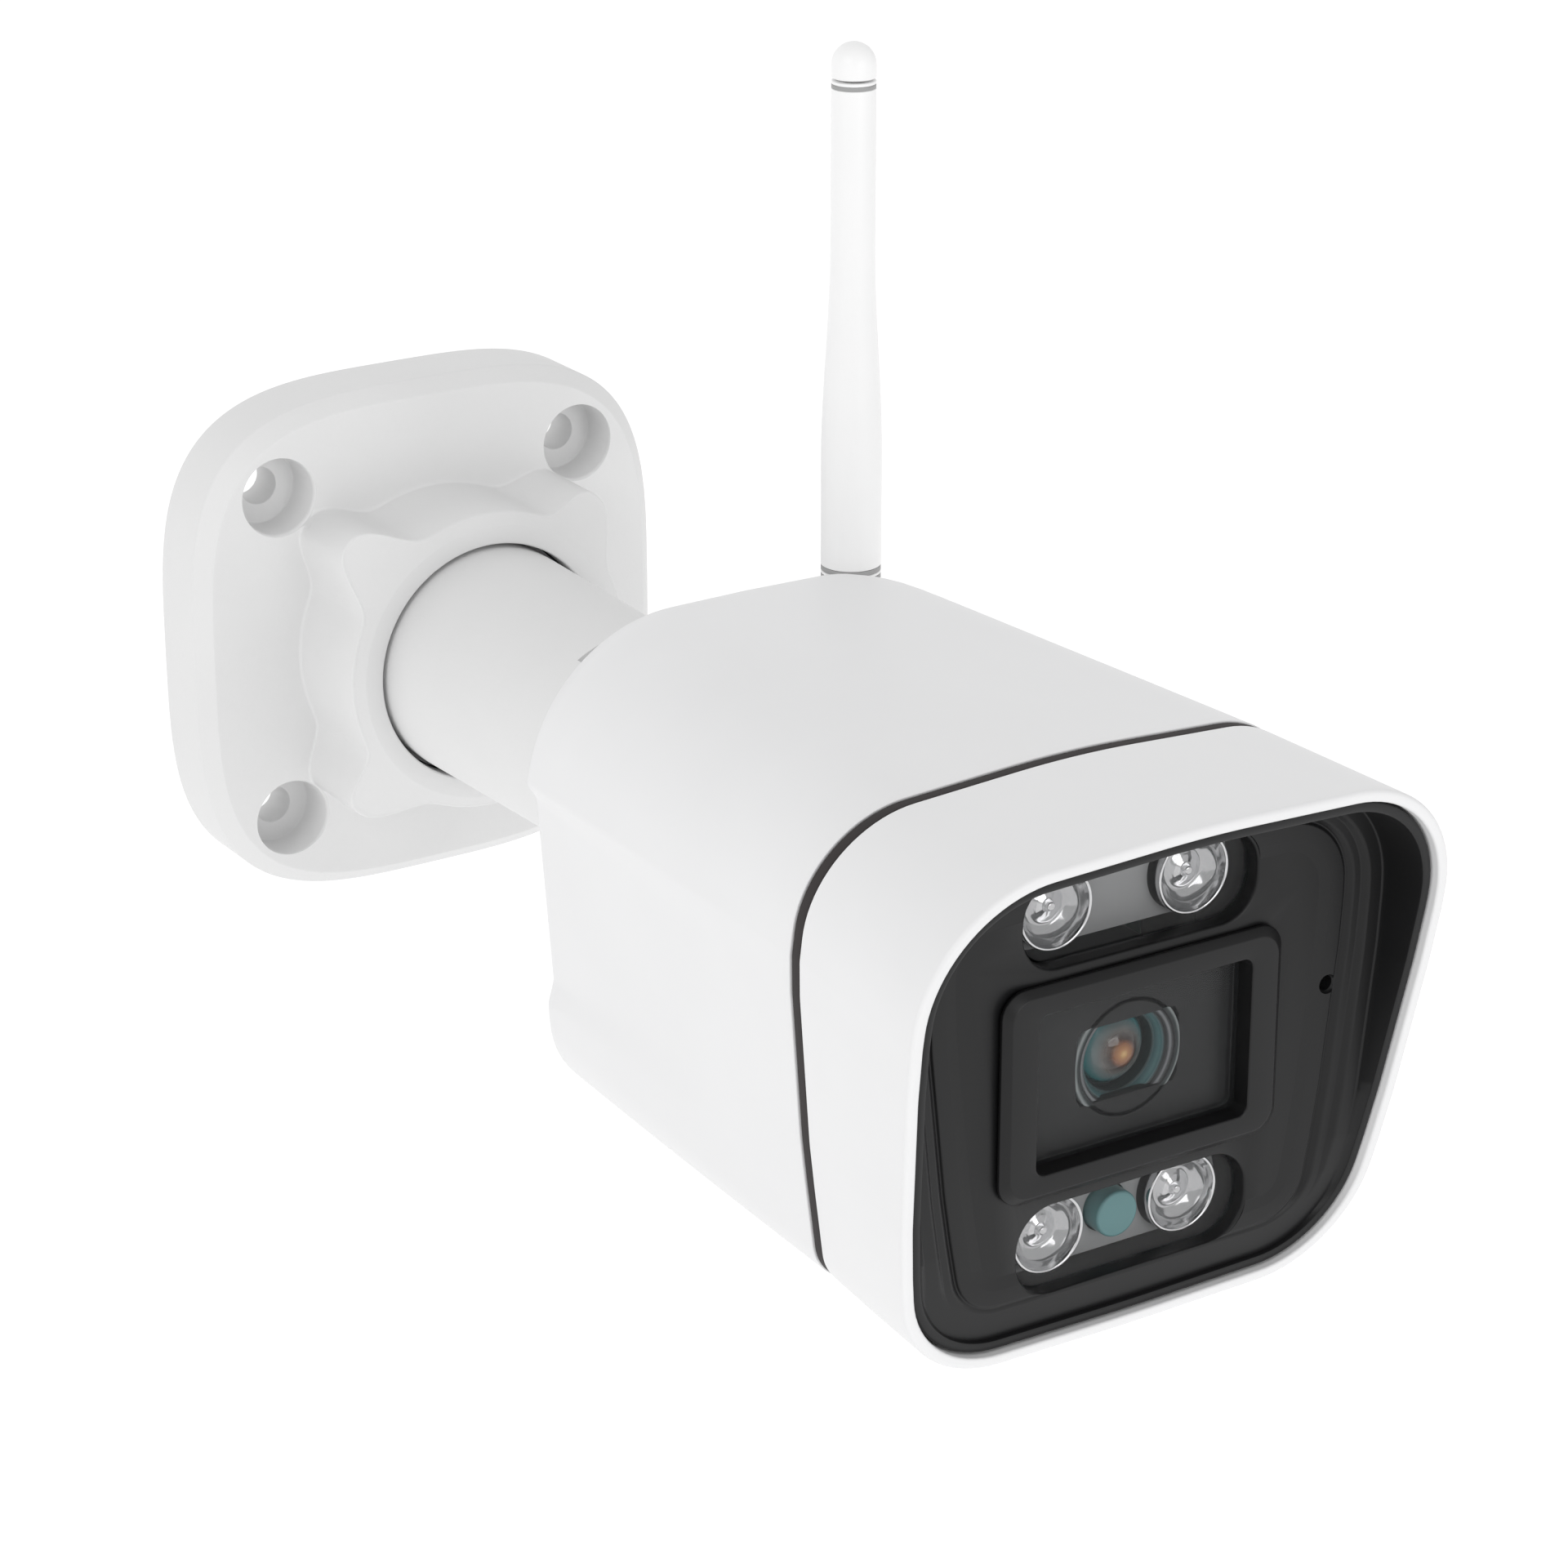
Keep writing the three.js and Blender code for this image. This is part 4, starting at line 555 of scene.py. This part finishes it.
BEZEL_D = 167.6
BEZEL_THICK = 2.2
BEZEL_BACK = BEZEL_D - BEZEL_THICK
LENS_Z = middle("lens_barrel", "z")
WINDOW_UP = middle("upper_light_window", "z")
WINDOW_DOWN = middle("lower_light_window", "z")
MIC_X = middle("microphone", "x")
MIC_Z = middle("microphone", "z")


def soft_min(a, b, blend=0.5):
    h = np.clip(0.5 + 0.5 * (b - a) / blend, 0, 1)
    return b * (1 - h) + a * h - blend * h * (1 - h)


def bezel_ring(inset, height=None, sink=0.9):
    """Ring of the front panel: at the slanted lip when height is None, else at a height over
    the panel's face but never above the lip."""
    def distance(z):
        lip = RIM_D - sink + SLANT * z
        if height is None:
            return lip
        return soft_min(np.full(len(z), BEZEL_D + height), lip)
    level = RIM_D if height is None else min(RIM_D, BEZEL_D + height + 1)
    t = (level - HOOD_D) / (RIM_D - HOOD_D)
    return lifted(section(mixed(SEAM_SECTION, RIM_SECTION, t), inset), distance)


def flat_ring(inset, d):
    t = (d - HOOD_D) / (RIM_D - HOOD_D)
    return lifted(section(mixed(SEAM_SECTION, RIM_SECTION, t), inset), d)


BEZEL_GAP = 0.3
outer_inset = RIM_WALL + BEZEL_GAP
lip_width = 1.2
rings = [flat_ring(outer_inset + 0.15, BEZEL_BACK)]
rings.append(bezel_ring(outer_inset, None, 1.15))
rings.append(bezel_ring(outer_inset + 0.1, None, 0.98))
rings.append(bezel_ring(outer_inset + 0.28, None, 0.9))
rings.append(bezel_ring(outer_inset + lip_width - 0.25, None, 0.9))
rings.append(bezel_ring(outer_inset + lip_width - 0.07, None, 0.97))
rings.append(bezel_ring(outer_inset + lip_width, None, 1.15))
wall = outer_inset + lip_width
steps = soft([
    (wall + 0.05, 2.3), (wall + 0.1, 1.55, 0.25), (wall + 1.9, 1.5, 0.55),
    (wall + 2.4, 0.75, 0.25), (wall + 3.4, 0.7, 0.5), (wall + 4.0, -0.15, 0.2),
    (wall + 4.35, 0.30, 0.25), (wall + 6.2, 0.16, 2), (wall + 7.6, 0.0, 2), (wall + 8.6, 0.0),
], 0.3, 5)
for inset, height in steps:
    rings.append(bezel_ring(inset, height, 1.55))
FACE_INSET = wall + 9.2
rings.append(flat_ring(FACE_INSET, BEZEL_D))
rings.append(flat_ring(FACE_INSET, BEZEL_BACK))
border = grid("bezel_border", rings, BEZEL, loop=True, angle=40)


LIGHT_HALF_W = 15.4         # light windows
LIGHT_HALF_H = 5.25
POCKET_HALF_W = 14.1        # pocket of the lens frame
POCKET_HALF_H = 9.3
POCKET_DEPTH = 3.2
FRAME_HALF_W = 18.55
FRAME_HALF_H = 12.5
FRAME_LAP = 2.5             # how far the frame laps over the panel
PANE_GAP = 0.3


def stadium(half_w, half_h, cz, steps=16):
    return rounded_rect(half_w, half_h, half_h - 0.01, 0, cz, steps)


def stepped_hole(outline_at, profile):
    """Cutter whose outline grows or shrinks: profile is (growth, distance)."""
    rings = [[(x, -d, z) for x, z in outline_at(g)] for g, d in profile]
    return grid("cutter", rings, None, caps=(True, True))


edge = [(0, BEZEL_BACK - 1), (0, BEZEL_D - 0.45), (0.03, BEZEL_D - 0.25), (0.12, BEZEL_D - 0.1),
        (0.3, BEZEL_D), (0.5, BEZEL_D + 1)]
centre_plate = grid("bezel_plate",
                    [flat_ring(FACE_INSET, BEZEL_D), flat_ring(FACE_INSET, BEZEL_BACK)],
                    BEZEL, caps=(True, True))
fuse(border, centre_plate, angle=40)
cut(border,
    stepped_hole(lambda g: stadium(LIGHT_HALF_W + g, LIGHT_HALF_H + g, WINDOW_UP), edge),
    stepped_hole(lambda g: stadium(LIGHT_HALF_W + g, LIGHT_HALF_H + g, WINDOW_DOWN), edge),
    stepped_hole(lambda g: rounded_rect(FRAME_HALF_W - FRAME_LAP + BEZEL_GAP + g,
                                        FRAME_HALF_H - FRAME_LAP + BEZEL_GAP + g, 1.5,
                                        0, LENS_Z), edge),
    lathe("cutter", [(0.9, BEZEL_BACK - 1), (0.9, BEZEL_D - 0.2), (1.1, BEZEL_D + 0.02),
                     (1.3, BEZEL_D + 1)], None, at=(MIC_X, 0, MIC_Z), segments=48),
    angle=40)
border.name = "bezel_panel"
place(border, "camera_head", "black_plastic", "bezel")

# ---------------------------------------------------------------- lens frame

FRAME_FRONT = -low("lens_frame", "y")
POCKET_FLOOR = FRAME_FRONT - POCKET_DEPTH
FRAME_FLOOR = POCKET_FLOOR - 1.2
LENS_HOLE = 7.5
TO_POCKET = -4.5            # growth at which the outline becomes the pocket's
around = []
for growth, d in soft([
    (-FRAME_LAP, FRAME_FLOOR), (-FRAME_LAP, BEZEL_D + 0.32), (0, BEZEL_D + 0.32, 0.1),
    (0, FRAME_FRONT - 0.75, 0.3), (-0.95, FRAME_FRONT, 0.3),
    (TO_POCKET + 0.05, FRAME_FRONT, 0.22), (TO_POCKET, POCKET_FLOOR, 0.12),
    (TO_POCKET - 2, POCKET_FLOOR),
], 0.2, 4):
    half_w, half_h = FRAME_HALF_W + growth, FRAME_HALF_H + growth
    if growth < -3:
        half_w = POCKET_HALF_W + growth - TO_POCKET
        half_h = POCKET_HALF_H + growth - TO_POCKET
    radius = max(3 + growth * 0.4, 0.9)
    outline = rounded_rect(half_w, half_h, radius, 0, LENS_Z, 10)
    around.append(np.array([(x, -d, z) for x, z in outline]))
for radius, d in ((LENS_HOLE + 0.4, POCKET_FLOOR), (LENS_HOLE + 0.1, POCKET_FLOOR - 0.1),
                  (LENS_HOLE, POCKET_FLOOR - 0.35), (LENS_HOLE, FRAME_FLOOR)):
    around.append(circle_like(around[0], radius, 0, LENS_Z, d))
lens_frame = grid("lens_frame_moulding", around, FRAME, loop=True, angle=40)
place(lens_frame, "camera_head", "black_plastic", "lens_frame")

# ---------------------------------------------------------------- panes

def pane(name, outline_at, d0, d1, material, slot, node):
    rings = [[(x, -d, z) for x, z in outline_at(g)] for g, d in
             soft([(-2, d0), (0, d0), (0, d1), (-2, d1)], 0.12, 3)]
    obj = grid(name, rings, material, caps=(True, True), angle=30)
    place(obj, "camera_head", slot, node)


glass_back = -high("lens_window", "y")
pane("lens_window_pane",
     lambda g: rounded_rect(POCKET_HALF_W - PANE_GAP + g, POCKET_HALF_H - PANE_GAP + g, 1.4,
                            0, LENS_Z),
     glass_back, -low("lens_window", "y"), PANE, "clear_glass", "lens_window")
for level, z in (("upper", WINDOW_UP), ("lower", WINDOW_DOWN)):
    node = f"{level}_light_window"
    pane(node + "_pane",
         lambda g: stadium(LIGHT_HALF_W - PANE_GAP + g, LIGHT_HALF_H - PANE_GAP + g, z),
         -high(node, "y"), -low(node, "y"), PANE, "clear_plastic", node)

# ---------------------------------------------------------------- lights and sensor

TRAY_BELOW = 2.4            # from the front of a collimator down to the tray
TRAY_HOLE = 4.75            # for a collimator
SENSOR_HOLE = 2.95
sensor_r = (high("light_sensor", "x") - low("light_sensor", "x")) / 2
for level in ("upper", "lower"):
    for side in ("left", "right"):
        node = f"{level}_{side}_collimator"
        x, z = middle(node, "x"), middle(node, "z")
        front, back = -low(node, "y"), -high(node, "y")
        radius = (high(node, "x") - low(node, "x")) / 2
        bowl = lathe(node + "_bowl", soft([
            (0, front - 1.1), (0.5, front - 1.1, 0.3), (0.75, front - 1.8, 0.2),
            (1.5, front - 2.1, 0.4), (2.4, front - 2.5, 0.8), (3.7, front - 1.7, 1.6),
            (4.35, front - 0.3), (radius, front - 0.25), (radius, front - 0.9),
            (4.0, back + 1.5, 2.0), (2.2, back), (1.5, back), (1.5, back + 1.2),
            (0, back + 1.2)], 0.2, 6), REFLECTOR, at=(x, 0, z), segments=72)
        place(bowl, "camera_head", "clear_plastic", node)
        dome = lathe(node + "_dome", [(0.0, front)] + [
            (r, front - 0.05 - 0.5 * (r / 4.2) ** 2) for r in np.linspace(0.4, 4.2, 12)] + [
            (4.2, front - 0.75)] + [
            (r, front - 1.4 + 0.6 * (r / 4.2) ** 2) for r in np.linspace(4.1, 2.0, 8)] + [
            (1.6, front - 2.3), (1.0, front - 2.75), (0.0, front - 2.9)], ACRYLIC,
            at=(x, 0, z), segments=64)
        place(dome, "camera_head", "clear_plastic")
    z = middle(f"{level}_light_board", "z")
    tray_d = front - TRAY_BELOW
    holes = [rod(TRAY_HOLE, tray_d - 2, tray_d + 1, at=(turn * x, 0, z))
             for turn in (-1, 1)]
    if level == "lower":
        holes.append(rod(SENSOR_HOLE, tray_d - 2, tray_d + 1, at=(0, 0, z)))
    tray = prism(stadium(15.0, 4.9, z), tray_d - 0.7, tray_d, f"{level}_light_tray", TRAY)
    place(cut(tray, *holes), "camera_head", "light_board")
node = "light_sensor"
sensor = lathe("light_sensor_cap", soft([
    (0, -low(node, "y")), (sensor_r, -low(node, "y"), 0.35), (sensor_r, -high(node, "y")),
    (0, -high(node, "y"))], 0.2, 5), TEAL, at=(middle(node, "x"), 0, middle(node, "z")))
place(sensor, "camera_head", "sensor_lens", node)

# ---------------------------------------------------------------- lens

# Painted highlights and reflections: the bright grey rim rings and the teal ring on the black
# barrel stand for light caught by its edges.
radial(BARREL, 0, LENS_Z, 7.2, [
    (0.0, (0.02, 0.02, 0.02)), (0.64, (0.02, 0.03, 0.03)), (0.71, (0.10, 0.20, 0.21)),
    (0.77, (0.012, 0.013, 0.014)), (0.83, (0.20, 0.21, 0.22)), (0.87, (0.012, 0.012, 0.013)),
    (0.93, (0.020, 0.030, 0.031)), (0.975, (0.30, 0.33, 0.33))])
# Painted reflections: the bright amber centre and the teal rings on the front glass stand for
# light reflected in the lens.
radial(ELEMENT, 0, LENS_Z, 4.3, [
    (0.0, (0.95, 0.62, 0.25)), (0.14, (0.55, 0.26, 0.10)), (0.30, (0.30, 0.12, 0.06)),
    (0.38, (0.05, 0.03, 0.025)), (0.58, (0.20, 0.19, 0.18)), (0.76, (0.22, 0.30, 0.31)),
    (0.9, (0.08, 0.36, 0.38)), (0.97, (0.02, 0.05, 0.055))])
lens_front = -low("lens_barrel", "y")
lens_back = -high("lens_barrel", "y")
head_r = (high("lens_barrel", "x") - low("lens_barrel", "x")) / 2
profile = [(0, lens_back), (5.6, lens_back, 0.2), (5.6, lens_front - 4),
           (head_r, lens_front - 4, 0.2), (head_r, lens_front - 0.1, 0.25),
           (head_r - 0.25, lens_front, 0.1), (6.35, lens_front, 0.1),
           (6.1, lens_front - 0.35, 0.08), (5.75, lens_front - 0.35, 0.08),
           (5.6, lens_front - 0.75, 0.08), (5.25, lens_front - 0.85, 0.08),
           (4.85, lens_front - 1.75, 0.08), (4.6, lens_front - 1.9, 0.08),
           (4.6, lens_front - 3.6), (0, lens_front - 3.6)]
barrel = lathe("lens_barrel_body", soft(profile, 0.1, 3), BARREL, at=(0, 0, LENS_Z),
               segments=128, angle=25)
place(barrel, "camera_head", "black_plastic", "lens_barrel")
element_r = (high("lens_front_glass", "x") - low("lens_front_glass", "x")) / 2
element_back = -high("lens_front_glass", "y")
element_front = -low("lens_front_glass", "y")
height = element_front - element_back
ball = (element_r ** 2 + height ** 2) / (2 * height)
dome = [(ball * math.sin(a), element_front - ball * (1 - math.cos(a)))
        for a in np.linspace(0, math.asin(element_r / ball), 20)]
inner = [(3.6 * math.sin(a), element_back + 0.9 * math.cos(a) + 0.15)
         for a in np.linspace(math.pi / 2, 0, 14)]
element = lathe("lens_front_element", dome + [(element_r, element_back + 0.02)] + inner, ELEMENT,
                at=(0, 0, LENS_Z), segments=128, angle=40)
place(element, "camera_head", "clear_glass", "lens_front_glass")
core = lathe("lens_inner_element", [(0.0, element_back + 0.72)] + [
    (1.75 * math.sin(a), element_back + 0.12 + 0.6 * math.cos(a))
    for a in np.linspace(0.15, math.pi / 2, 12)] + [(0.0, element_back + 0.1)], INNER_ELEMENT,
    at=(0, 0, LENS_Z), segments=96)
place(core, "camera_head", "clear_glass")

# ---------------------------------------------------------------- wall plate

PLATE_HALF = high("wall_plate", "x")
FACE_HALF = PLATE_HALF - 1.9
BOSS_TOP = -low("wall_plate", "y")
EDGE_D = 11.2
SIDE_D = 9.15
COLLAR_R = 18.7
ARM_BORE = 16.2
BORE_BACK = 23.6            # back of the bore, behind the arm's collar
CAVITY_R = 23.9
CAVITY_DEPTH = 10
CAVITY_STEP_R = 18.4
turns = np.arange(360) * math.pi / 180
squircle = (np.abs(np.cos(turns)) ** 3.5 + np.abs(np.sin(turns)) ** 3.5) ** (-1 / 3.5)
from_lobe = np.abs(np.degrees(turns) % 90 - 45) / 11.8
boss_r = 20.4 + 6 * np.exp(-from_lobe ** 2.6)


def polar(radius, distance):
    radius = np.broadcast_to(radius, turns.shape)
    distance = np.broadcast_to(distance, turns.shape)
    return np.stack([radius * np.cos(turns), -distance, radius * np.sin(turns)], 1)


def face_d(radius):
    return EDGE_D + 0.8 * (1 - (radius / (FACE_HALF * squircle)) ** 2)


def top_d(radius):
    return BOSS_TOP - 0.52 * np.maximum(radius - COLLAR_R, 0)


rings = []
for r, d in soft([(ARM_BORE, BORE_BACK), (ARM_BORE, BOSS_TOP, 0.3), (COLLAR_R, BOSS_TOP)], 0.3, 4):
    rings.append(polar(r, d))
for share in (0.02, 0.15, 0.4, 0.7, 0.92):
    r = COLLAR_R + (boss_r - 0.4 - COLLAR_R) * share
    rings.append(polar(r, top_d(r)))
edge_r = 0.4
for a in np.linspace(0, math.pi / 2, 6):
    rings.append(polar(boss_r - edge_r + edge_r * math.sin(a),
                       top_d(boss_r - edge_r) - edge_r * (1 - math.cos(a))))
foot = 0.45
foot_d = face_d(boss_r + foot)
for share in (0.3, 0.65):
    rings.append(polar(boss_r, top_d(boss_r) * (1 - share) + (foot_d + foot) * share))
for a in np.linspace(0, math.pi / 2, 7):
    rings.append(polar(boss_r + foot * (1 - math.cos(a)), foot_d + foot * (1 - math.sin(a))))
face_r = FACE_HALF * squircle
for share in (0.08, 0.2, 0.35, 0.5, 0.65, 0.8, 0.92):
    r = boss_r + foot + (face_r - 0.3 - boss_r - foot) * share
    rings.append(polar(r, face_d(r)))
for grow, d in soft([(-0.5, EDGE_D + 0.02), (0, EDGE_D, 0.3), (1.9, SIDE_D, 0.7),
                     (1.9, 0.0, 0.25), (0.9, 0.0)], 0.3, 5):
    rings.append(polar(face_r + grow * squircle, d))
for r, d in ((CAVITY_R, 0), (CAVITY_R, CAVITY_DEPTH), (CAVITY_STEP_R, CAVITY_DEPTH),
             (CAVITY_STEP_R, BORE_BACK)):
    rings.append(polar(r, d))
plate = grid("wall_plate_body", rings, POWDER, loop=True, angle=32)
for sx in (1, -1):
    for sz in (1, -1):
        at = (22.5 * sx, 0, 22.5 * sz)
        sink = lathe("cutter", soft([(0, -1), (2.5, -1), (2.5, 5.5, 0.15), (5.12, 5.5, 0.25),
                                     (5.12, 11.0), (5.22, 11.3), (5.4, 11.5), (5.6, 13.0),
                                     (5.12, 13.3), (5.12, 28), (0, 28)], 0.05, 3), None, at=at)
        cut(plate, sink, angle=32)
place(plate, "base", "white_metal", "wall_plate")

# ---------------------------------------------------------------- arm

ELBOW_D = -middle("elbow_nut", "y")
ARM_BACK = -high("arm_tube", "y")
ARM_TIP = -low("arm_tube", "y")
END_DEPTH = ARM_TIP - ELBOW_D
SLOT = 15.2
NUT_AF = 7.8                # across flats of the elbow's nut
slot_bottom = ELBOW_D - 8.3
floor_d = slot_bottom - 2.6
dome = [(14.6 * math.cos(a), ELBOW_D + END_DEPTH * math.sin(a))
        for a in np.linspace(0, math.pi / 2, 32)]
dome[-1] = (0, ARM_TIP)
profile = soft([(13.0, floor_d), (13.0, ARM_BACK, 0.2), (18.1, ARM_BACK, 0.2),
                (18.1, 22.1, 0.2), (15.6, 22.1, 0.2), (15.6, BOSS_TOP)], 0.2, 4)
arm = lathe("arm_tube_body", [(0, floor_d)] + profile + dome, POWDER, segments=160, angle=32)
seat = SLOT / 2 + 3.8
hexagon = [(NUT_AF + 0.6) / math.sqrt(3) * np.array([math.cos(a), math.sin(a)])
           for a in np.arange(6) * math.pi / 3]
pocket = grid("cutter", [[(x, -ELBOW_D - v, u) for u, v in hexagon] for x in (-20, -seat)],
              None, caps=(True, True))
cut(arm, slab(-SLOT / 2, SLOT / 2, slot_bottom, ARM_TIP + 2, -20, 20),
    rod(2.9, -20, 20, "x", (0, -ELBOW_D, 0)), rod(4.5, seat, 20, "x", (0, -ELBOW_D, 0)),
    pocket, rod(3.2, floor_d - 1, slot_bottom + 1, at=(0, 0, -7.3)), angle=32)
bevel = arm.modifiers.new("ease", "BEVEL")
bevel.width = 0.25 * MM
bevel.segments = 2
bevel.limit_method = "ANGLE"
bevel.angle_limit = math.radians(45)
place(arm, "arm", "white_metal", "arm_tube")

# ---------------------------------------------------------------- aerial

HINGE_Z = middle("aerial_hinge_pin", "z")
HINGE_D = -middle("aerial_hinge_pin", "y")
SLEEVE_LOW = 17.4
SLEEVE_TOP = high("aerial_sleeve", "z")
TIP_Z = high("aerial_cap", "z")


def sleeve_r(z):
    t = min(max((z - 38.5) / (65 - 38.5), 0), 1)
    return 3.72 + (2.7 - 3.72) * t * t * (3 - 2 * t)


def grooved(z, half, depth):
    """A shallow groove round the sleeve at a height."""
    r = sleeve_r(z)
    return [(r, z - half - 0.06), (r - depth, z - half, 0.04), (r - depth, z + half, 0.04),
            (r, z + half + 0.06)]


outer = [(0, SLEEVE_LOW), (3.72, SLEEVE_LOW, 0.5)]
outer += grooved(23.7, 0.32, 0.22) + grooved(24.75, 0.32, 0.22)
outer += [(sleeve_r(z), z) for z in np.linspace(38.5, 65, 18)]
outer += grooved(84.35, 0.25, 0.15)
outer += [(2.7, SLEEVE_TOP, 0.12), (1.6, SLEEVE_TOP)]
outer += [(1.6, SLEEVE_LOW + 6), (0, SLEEVE_LOW + 6)]
aerial_at = (AERIAL_X, -HINGE_D, 0)
sleeve = lathe("aerial_sleeve_body", soft(outer, 0.05, 3), AERIAL_WHITE, "z", aerial_at, 96)
foot = lathe("foot", [(3.6, AERIAL_X - 1.9), (3.6, AERIAL_X + 1.9)], AERIAL_WHITE, "x",
             (0, -HINGE_D, HINGE_Z), 64)
neck = slab(AERIAL_X - 1.9, AERIAL_X + 1.9, HINGE_D - 2.97, HINGE_D + 2.97,
            HINGE_Z, SLEEVE_LOW + 1)
fuse(sleeve, foot, neck)
cut(sleeve, rod(1.6, AERIAL_X - 6, AERIAL_X + 6, "x", (0, -HINGE_D, HINGE_Z), 32))
place(sleeve, "aerial", "white_plastic", "aerial_sleeve")
for name, z, half, depth in (("low", 23.7, 0.32, 0.22), ("mid", 24.75, 0.32, 0.22),
                             ("high", 84.35, 0.25, 0.15)):
    r = sleeve_r(z)
    band = lathe(f"aerial_band_{name}", soft([
        (r - depth + 0.01, z - half + 0.02), (r - 0.03, z - half + 0.02),
        (r - 0.03, z + half - 0.02), (r - depth + 0.01, z + half - 0.02)], 0.03, 2,
        closed=True), AERIAL_GREY, "z", aerial_at, 96, loop=True)
    place(band, "aerial", "white_plastic")
cap_low = low("aerial_cap", "z")
dome = [(2.7 * math.cos(a), TIP_Z - 2.7 + 2.7 * math.sin(a))
        for a in np.linspace(0, math.pi / 2, 18)]
dome[-1] = (0, TIP_Z)
cap = lathe("aerial_cap_body", [(0, cap_low), (2.55, cap_low), (2.7, cap_low + 0.12)] + dome,
            AERIAL_WHITE, "z", aerial_at, 96)
place(cap, "aerial", "white_plastic", "aerial_cap")

# ---------------------------------------------------------------- carried-over CAD nodes

LOOKS = {
    "white_metal": POWDER, "white_plastic": AERIAL_WHITE, "black_plastic": FRAME,
    "rubber": GROMMET, "steel": STEEL, "brass": BRASS, "clear_glass": ELEMENT,
    "clear_plastic": ACRYLIC, "circuit_board": BOARD, "light_board": LIGHT_BOARD,
    "emitter": EMITTER, "sensor_lens": TEAL, "chip": CHIP, "imager": IMAGER,
}
slots = {s["node"]: s["material_slot"] for s in frame["record"]["subparts"]}
for name, obj in frame["nodes"].items():
    obj.data.materials.clear()
    obj.data.materials.append(LOOKS[slots[name]])
    if not obj.hide_render:
        size = min(h - l for l, h in zip(*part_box(name))) / MM
        eased(obj, min(0.25, 0.12 * size))

# ---------------------------------------------------------------- stage, camera and light

camera_data = bpy.data.cameras.new("camera")
camera = bpy.data.objects.new("camera", camera_data)
bpy.context.scene.collection.objects.link(camera)
azimuth, elevation, roll = math.radians(-32.826), math.radians(21.614), math.radians(0.024)
back = Vector((math.sin(azimuth) * math.cos(elevation), -math.cos(azimuth) * math.cos(elevation),
               math.sin(elevation)))
right = Vector((0, 0, 1)).cross(back).normalized()
up = back.cross(right)
camera.matrix_world = Matrix.Translation((-0.26215, -0.50415, 0.19796)) @ Matrix(
    (right, up, back)).transposed().to_4x4() @ Matrix.Rotation(roll, 4, "Z")
camera_data.sensor_width = 36
camera_data.lens = 100.68
camera_data.clip_start = 0.01
bpy.context.scene.camera = camera

FLOOR_Z = -0.17
profile = [(-2.2, FLOOR_Z)] + [(0.9 + 0.7 * math.sin(a), FLOOR_Z + 0.7 * (1 - math.cos(a)))
                               for a in np.linspace(0, math.pi / 2, 16)] + [(1.6, 2.6)]
across = [(x / MM, y / MM, z / MM) for x in (-2.6, 2.6) for y, z in profile]
count = len(profile)
floor = make("floor", across, [(i, i + 1, count + i + 1, count + i) for i in range(count - 1)],
             None, 60)
backdrop = shader("pale_backdrop", (0.35, 0.35, 0.35), 0.9, vary=0.004, depth=0, spec=0.1)
principled = backdrop.node_tree.nodes["Principled BSDF"]
principled.inputs["Emission Color"].default_value = (1, 1, 1, 1)
principled.inputs["Emission Strength"].default_value = 0.78
floor.data.materials.append(backdrop)

world = bpy.data.worlds.new("world")
world.use_nodes = True
world.node_tree.nodes["Background"].inputs["Color"].default_value = (1, 1, 1, 1)
world.node_tree.nodes["Background"].inputs["Strength"].default_value = 0.70
bpy.context.scene.world = world
bpy.context.scene.view_settings.view_transform = "Standard"


def area_light(name, where, target, size, power):
    data = bpy.data.lights.new(name, "AREA")
    data.shape = "RECTANGLE"
    data.size, data.size_y = size
    data.energy = power
    light = bpy.data.objects.new(name, data)
    bpy.context.scene.collection.objects.link(light)
    light.location = where
    direction = Vector(target) - Vector(where)
    light.rotation_euler = direction.to_track_quat("-Z", "Y").to_euler()


aim = (0.0, -0.1, 0.0)
area_light("key", (-1.15, -0.55, 0.75), aim, (0.7, 0.7), 3.2)
area_light("front", (0.15, -1.6, 0.3), aim, (0.8, 0.5), 4.2)
